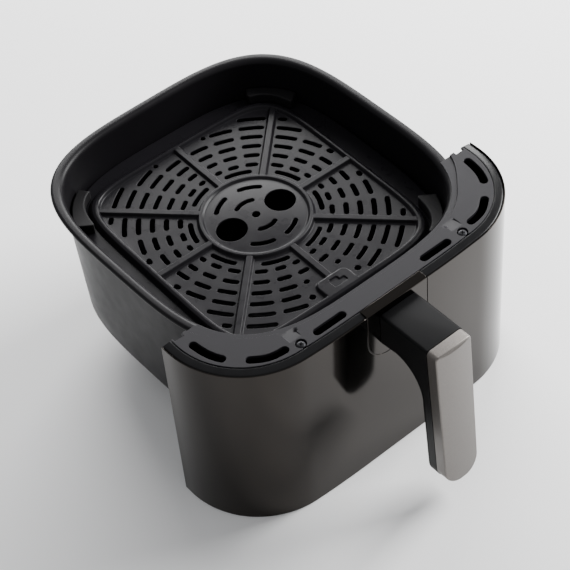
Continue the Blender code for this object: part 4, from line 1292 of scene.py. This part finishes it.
def arm_outline(grow):
    """Underside of the arm and back of the grip as (y, z), from the fascia to the grip's foot."""
    under = ARM_TOP - ARM_HEIGHT + grow
    bend_z = ARM_TOP - 2.1 * ARM_HEIGHT
    bend_y = grip_front(bend_z) + GRIP_DEPTH - grow
    reach = (-FRONT_Y - 14.0) - bend_y
    points = [(ARM_START, under - 1.5)]
    for turn in np.linspace(0, math.pi / 2, 29):
        points.append((
            bend_y + reach * (1 - math.sin(turn)),
            under + (bend_z - under) * (1 - math.cos(turn)),
        ))
    for share in (0.33, 0.66, 1.0):
        z = bend_z + (GRIP_FOOT - bend_z) * share
        points.append((grip_front(z) + GRIP_DEPTH - grow, z))
    return points


def round_foot(foot):
    """The round lower end of the grip or its cap, from the left side to the right, as (x, z)."""
    left = arc((-FOOT_HALF + FOOT_RADIUS, foot + FOOT_RADIUS), FOOT_RADIUS, 180, 270, 18)
    right = arc((FOOT_HALF - FOOT_RADIUS, foot + FOOT_RADIUS), FOOT_RADIUS, 270, 360, 18)
    return left + right


def seam_points(line):
    """Close points along a line of the side view, and along the arm's start."""
    line = np.asarray(line)
    shares = np.linspace(0, 1, 24)
    points = [tuple(a + (b - a) * share) for a, b in zip(line[1:], line[2:]) for share in shares]
    return points + [(ARM_START - t, line[0][1] + 0.1 * t) for t in np.linspace(0, 14, 15)]


def near_seam(middle, seam, reach):
    return any(abs(middle.y - y) < reach and abs(middle.z - z) < reach for y, z in seam)


# %% Handle: body and cover
def build_handle():
    split = arm_outline(COVER_WALL)
    body = [(ARM_START, ARM_TOP), (ARM_START, split[0][1])] + split[1:]
    body += [(grip_front(GRIP_FOOT), GRIP_FOOT), (grip_front(ARM_TOP), ARM_TOP)]
    made = piece_from(
        "handle_arm_and_grip", *prism(body, -HANDLE_HALF, HANDLE_HALF, "X"), satin_black, "drawer",
        ["handle_body"], "handle_plastic",
    )
    front_view = [(HANDLE_HALF, ARM_TOP), (-HANDLE_HALF, ARM_TOP)] + round_foot(GRIP_FOOT)
    front = prism(front_view, ARM_START - 90, ARM_START + 30, "Y")
    boolean(made, *front, "INTERSECT")

    seam = seam_points(split)

    def top_edges(middle, angle):
        along_seam = near_seam(middle, seam, 1.5)
        beside_cap = middle.y < grip_front(middle.z) + 1.5
        return angle > 40 and middle.y < ARM_START - 0.5 and not along_seam and not beside_cap

    rounded(made, EDGE_RADIUS, top_edges)

    line = arm_outline(COVER_WALL - GAP)
    under = arm_outline(0.0)
    cover = [(ARM_START, under[0][1])] + under[1:] + line[:0:-1] + [(ARM_START, line[0][1])]
    back = piece_from(
        "handle_cover", *prism(cover, -HANDLE_HALF, HANDLE_HALF, "X"), satin_black, "drawer",
        ["handle_back_cover"], "handle_plastic",
    )
    boolean(back, *front, "INTERSECT")
    rim = seam_points(under)

    def outer_edges(middle, angle):
        return angle > 40 and middle.y < ARM_START - 0.5 and near_seam(middle, rim, 1.2)

    rounded(back, EDGE_RADIUS, outer_edges)
    return made, back


build_handle()

# %% [markdown]
# ### The cap
#
# The cap is a crowned shell as long as the grip. Seen from the front it is a strip with a round lower
# end, so it is a sheet again, thick this time, with its upper face on the grip's front.

# %% Cap
CAP_SIDE = 9.3
CAP_CROWN = 1.6
CAP_EDGE = 1.2
CAP_CORNER = 3.4
CAP_LAND = 2.2                 # the crown's lines stop this far inside the outline


def cap_face(uv):
    """The cap's front face: across and height give a crowned face in front of the grip."""
    x, z = uv[:, 0], uv[:, 1]
    back = grip_front(z) - GAP
    crown = CAP_CROWN * (1 - (x / HANDLE_HALF) ** 2)
    slope = 2 * CAP_CROWN * x / HANDLE_HALF**2
    normals = np.stack([slope, -np.ones_like(x), -np.full_like(x, math.tan(GRIP_TILT))], 1)
    normals /= np.linalg.norm(normals, axis=1, keepdims=True)
    return np.stack([x, back - CAP_SIDE + 0.15 - crown, z], 1), normals


def cap_depth(uv):
    """From the crowned face to the flat back, which lies on the grip."""
    return CAP_SIDE - 0.2 + CAP_CROWN * (1 - (uv[:, 0] / HANDLE_HALF) ** 2)


def build_cap():
    top = ARM_TOP - 0.15
    foot = cap_low.z + 0.9
    centre = HANDLE_HALF - 0.1 - CAP_CORNER
    outline = arc((centre, top - CAP_CORNER), CAP_CORNER, 0, 90, 6)
    outline += arc((-centre, top - CAP_CORNER), CAP_CORNER, 90, 180, 6) + round_foot(foot)
    lines = []
    for x in np.linspace(-14, 14, 15):
        fall = max(abs(x) - (FOOT_HALF - FOOT_RADIUS), 0.0)
        low = foot + FOOT_RADIUS - math.sqrt(max(FOOT_RADIUS**2 - fall**2, 0.0)) + CAP_LAND
        lines.append([(x, z) for z in np.linspace(low, top - CAP_LAND, 12)])
    return sheet(
        "grip_cap", outline, [], lines, cap_face, cap_depth, CAP_EDGE, flake_paint, "drawer",
        ["handle_cap"], "cap_metallic", steps=6, sink=(0.0, -1.0, 0.0),
    )


build_cap()

# %% [markdown]
# ## Screws
#
# The bezel's two screws sit in their wells, darkened with painted shade, and the zinc plated ones show
# from behind. Each has a domed head with a cross recess. The head is turned, and the recess is cut with
# two slim wedges.


# %% Screws
SHANK = 1.8
SCREW_AROUND = 32
RECESS = (                     # a wedge's two ends: place along the axis, half length, half width
    (-0.3, 1.9, 0.5),
    (1.5, 0.9, 0.35),
)
DOWN = (0, 0, -1)
FORWARD = (0, -1, 0)


def build_screw(name, head_at, direction, head, length, look):
    axis = Vector(direction)
    side = axis.orthogonal().normalized()
    other = axis.cross(side)
    half = head / 2
    section = [(0.02, 0.0), (0.45 * half, 0.05), (0.75 * half, 0.25), (0.95 * half, 0.7), (half, 1.2)]
    section += [(half, 2.2), (SHANK, 2.3), (SHANK, length - 1.2), (0.3, length)]
    rings = []
    for radius, along in section:
        for u, v in circle(radius, SCREW_AROUND):
            rings.append(Vector(head_at) + axis * along + side * u + other * v)
    points = np.array([point[:] for point in rings])
    made = piece_from(
        name + "_fastener", points, outward(points, loft_faces(len(section), SCREW_AROUND)), look,
        "drawer", [name], "zinc_steel",
    )
    for first, second in ((side, other), (other, side)):
        corners = []
        for along, reach, width in RECESS:
            for u, v in ((-1, -1), (1, -1), (1, 1), (-1, 1)):
                corners.append(Vector(head_at) + axis * along + first * u * reach + second * v * width)
        points = np.array([corner[:] for corner in corners])
        boolean(made, points, outward(points, loft_faces(2, 4)))
    return made


sides, levels = ("left", "right"), ("low", "high")
screws = [(f"bezel_screw_{side}", DOWN, 7.0, 16.0) for side in sides]
screws += [(f"panel_screw_{side}_{level}", FORWARD, 7.0, 14.0) for side in sides for level in levels]
screws += [(f"grip_screw_{level}", FORWARD, 5.4, 7.0) for level in ("lower", "upper")]
for node, direction, head, length in screws:
    low, high = drawn_box(node)
    middle = (low + high) / 2
    at = (middle.x, middle.y, high.z) if direction == DOWN else (middle.x, high.y, middle.z)
    # the bezel's screws get the dark steel, which is painted shade for their deep wells
    look = well_shade_dark_steel if direction == DOWN else zinc
    build_screw(node, at, direction, head, length, look)

# %% [markdown]
# ## Pieces that stay as they are
#
# The inner panel, the bracket, the steel core and its two screws are hidden or seen only from behind,
# and their CAD shapes are right. They keep their meshes and get the real finishes.

# %% Finishes for the CAD pieces
for node, look in {
    "fascia_inner_panel": gloss_black,
    "pan_bracket": zinc,
    "handle_core": zinc,
    "bracket_screw_left": zinc,
    "bracket_screw_right": zinc,
}.items():
    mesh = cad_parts[node].data
    mesh.materials.clear()
    mesh.materials.append(look)
print("kept CAD pieces have their finishes")

# %% [markdown]
# ## Floor and light
#
# A white floor and a pale surround fill the dark coatings with soft light. One large panel stands
# behind and to the right, about 30 degrees up, and draws the bright lines along the beads and the rim.
# A stronger one on the right brightens the fascia's right side, and leaves the left side darker.

# %% Floor
FLOOR_HALF = 6.0               # metres
FLOOR_Z = -0.0004              # just under the fascia's foot
corners = [(x * FLOOR_HALF, y * FLOOR_HALF, FLOOR_Z) for x, y in ((-1, -1), (1, -1), (1, 1), (-1, 1))]
floor_mesh = bpy.data.meshes.new("floor")
floor_mesh.from_pydata(corners, [], [(0, 1, 2, 3)])
floor_paint, tree, shader = finish("white_floor", {"Roughness": 0.9})
tree.links.new(blend_colours(tree, grain(tree, 200.0), "#f4f4f4", "#f6f6f6"), shader.inputs["Base Color"])
floor_mesh.materials.append(floor_paint)
floor = bpy.data.objects.new("floor", floor_mesh)
bpy.context.scene.collection.objects.link(floor)

# %% Light panels and surround


def panel(name, at, aim, size_x, size_y, power):
    """A soft rectangular lamp that faces a point; places and sizes in metres, power in watts."""
    light = bpy.data.lights.new(name, "AREA")
    light.shape = "RECTANGLE"
    light.size, light.size_y = size_x, size_y
    light.energy = power
    made = bpy.data.objects.new(name, light)
    made.location = at
    made.rotation_euler = (Vector(aim) - Vector(at)).to_track_quat("-Z", "Y").to_euler()
    bpy.context.scene.collection.objects.link(made)
    print(name, "gives", power, "W")


centre = (0.0, PAN_CENTRE.y, 0.12)
panel("back_panel", (0.95, 1.35, 0.98), centre, 1.5, 0.74, 64)
panel("right_panel", (1.5, -0.3, 1.0), centre, 1.0, 1.0, 85)

world = bpy.data.worlds.new("surround")
bpy.context.scene.world = world
world.use_nodes = True
background = world.node_tree.nodes["Background"]
background.inputs["Color"].default_value = linear("#f2f3f5")
background.inputs["Strength"].default_value = 0.62
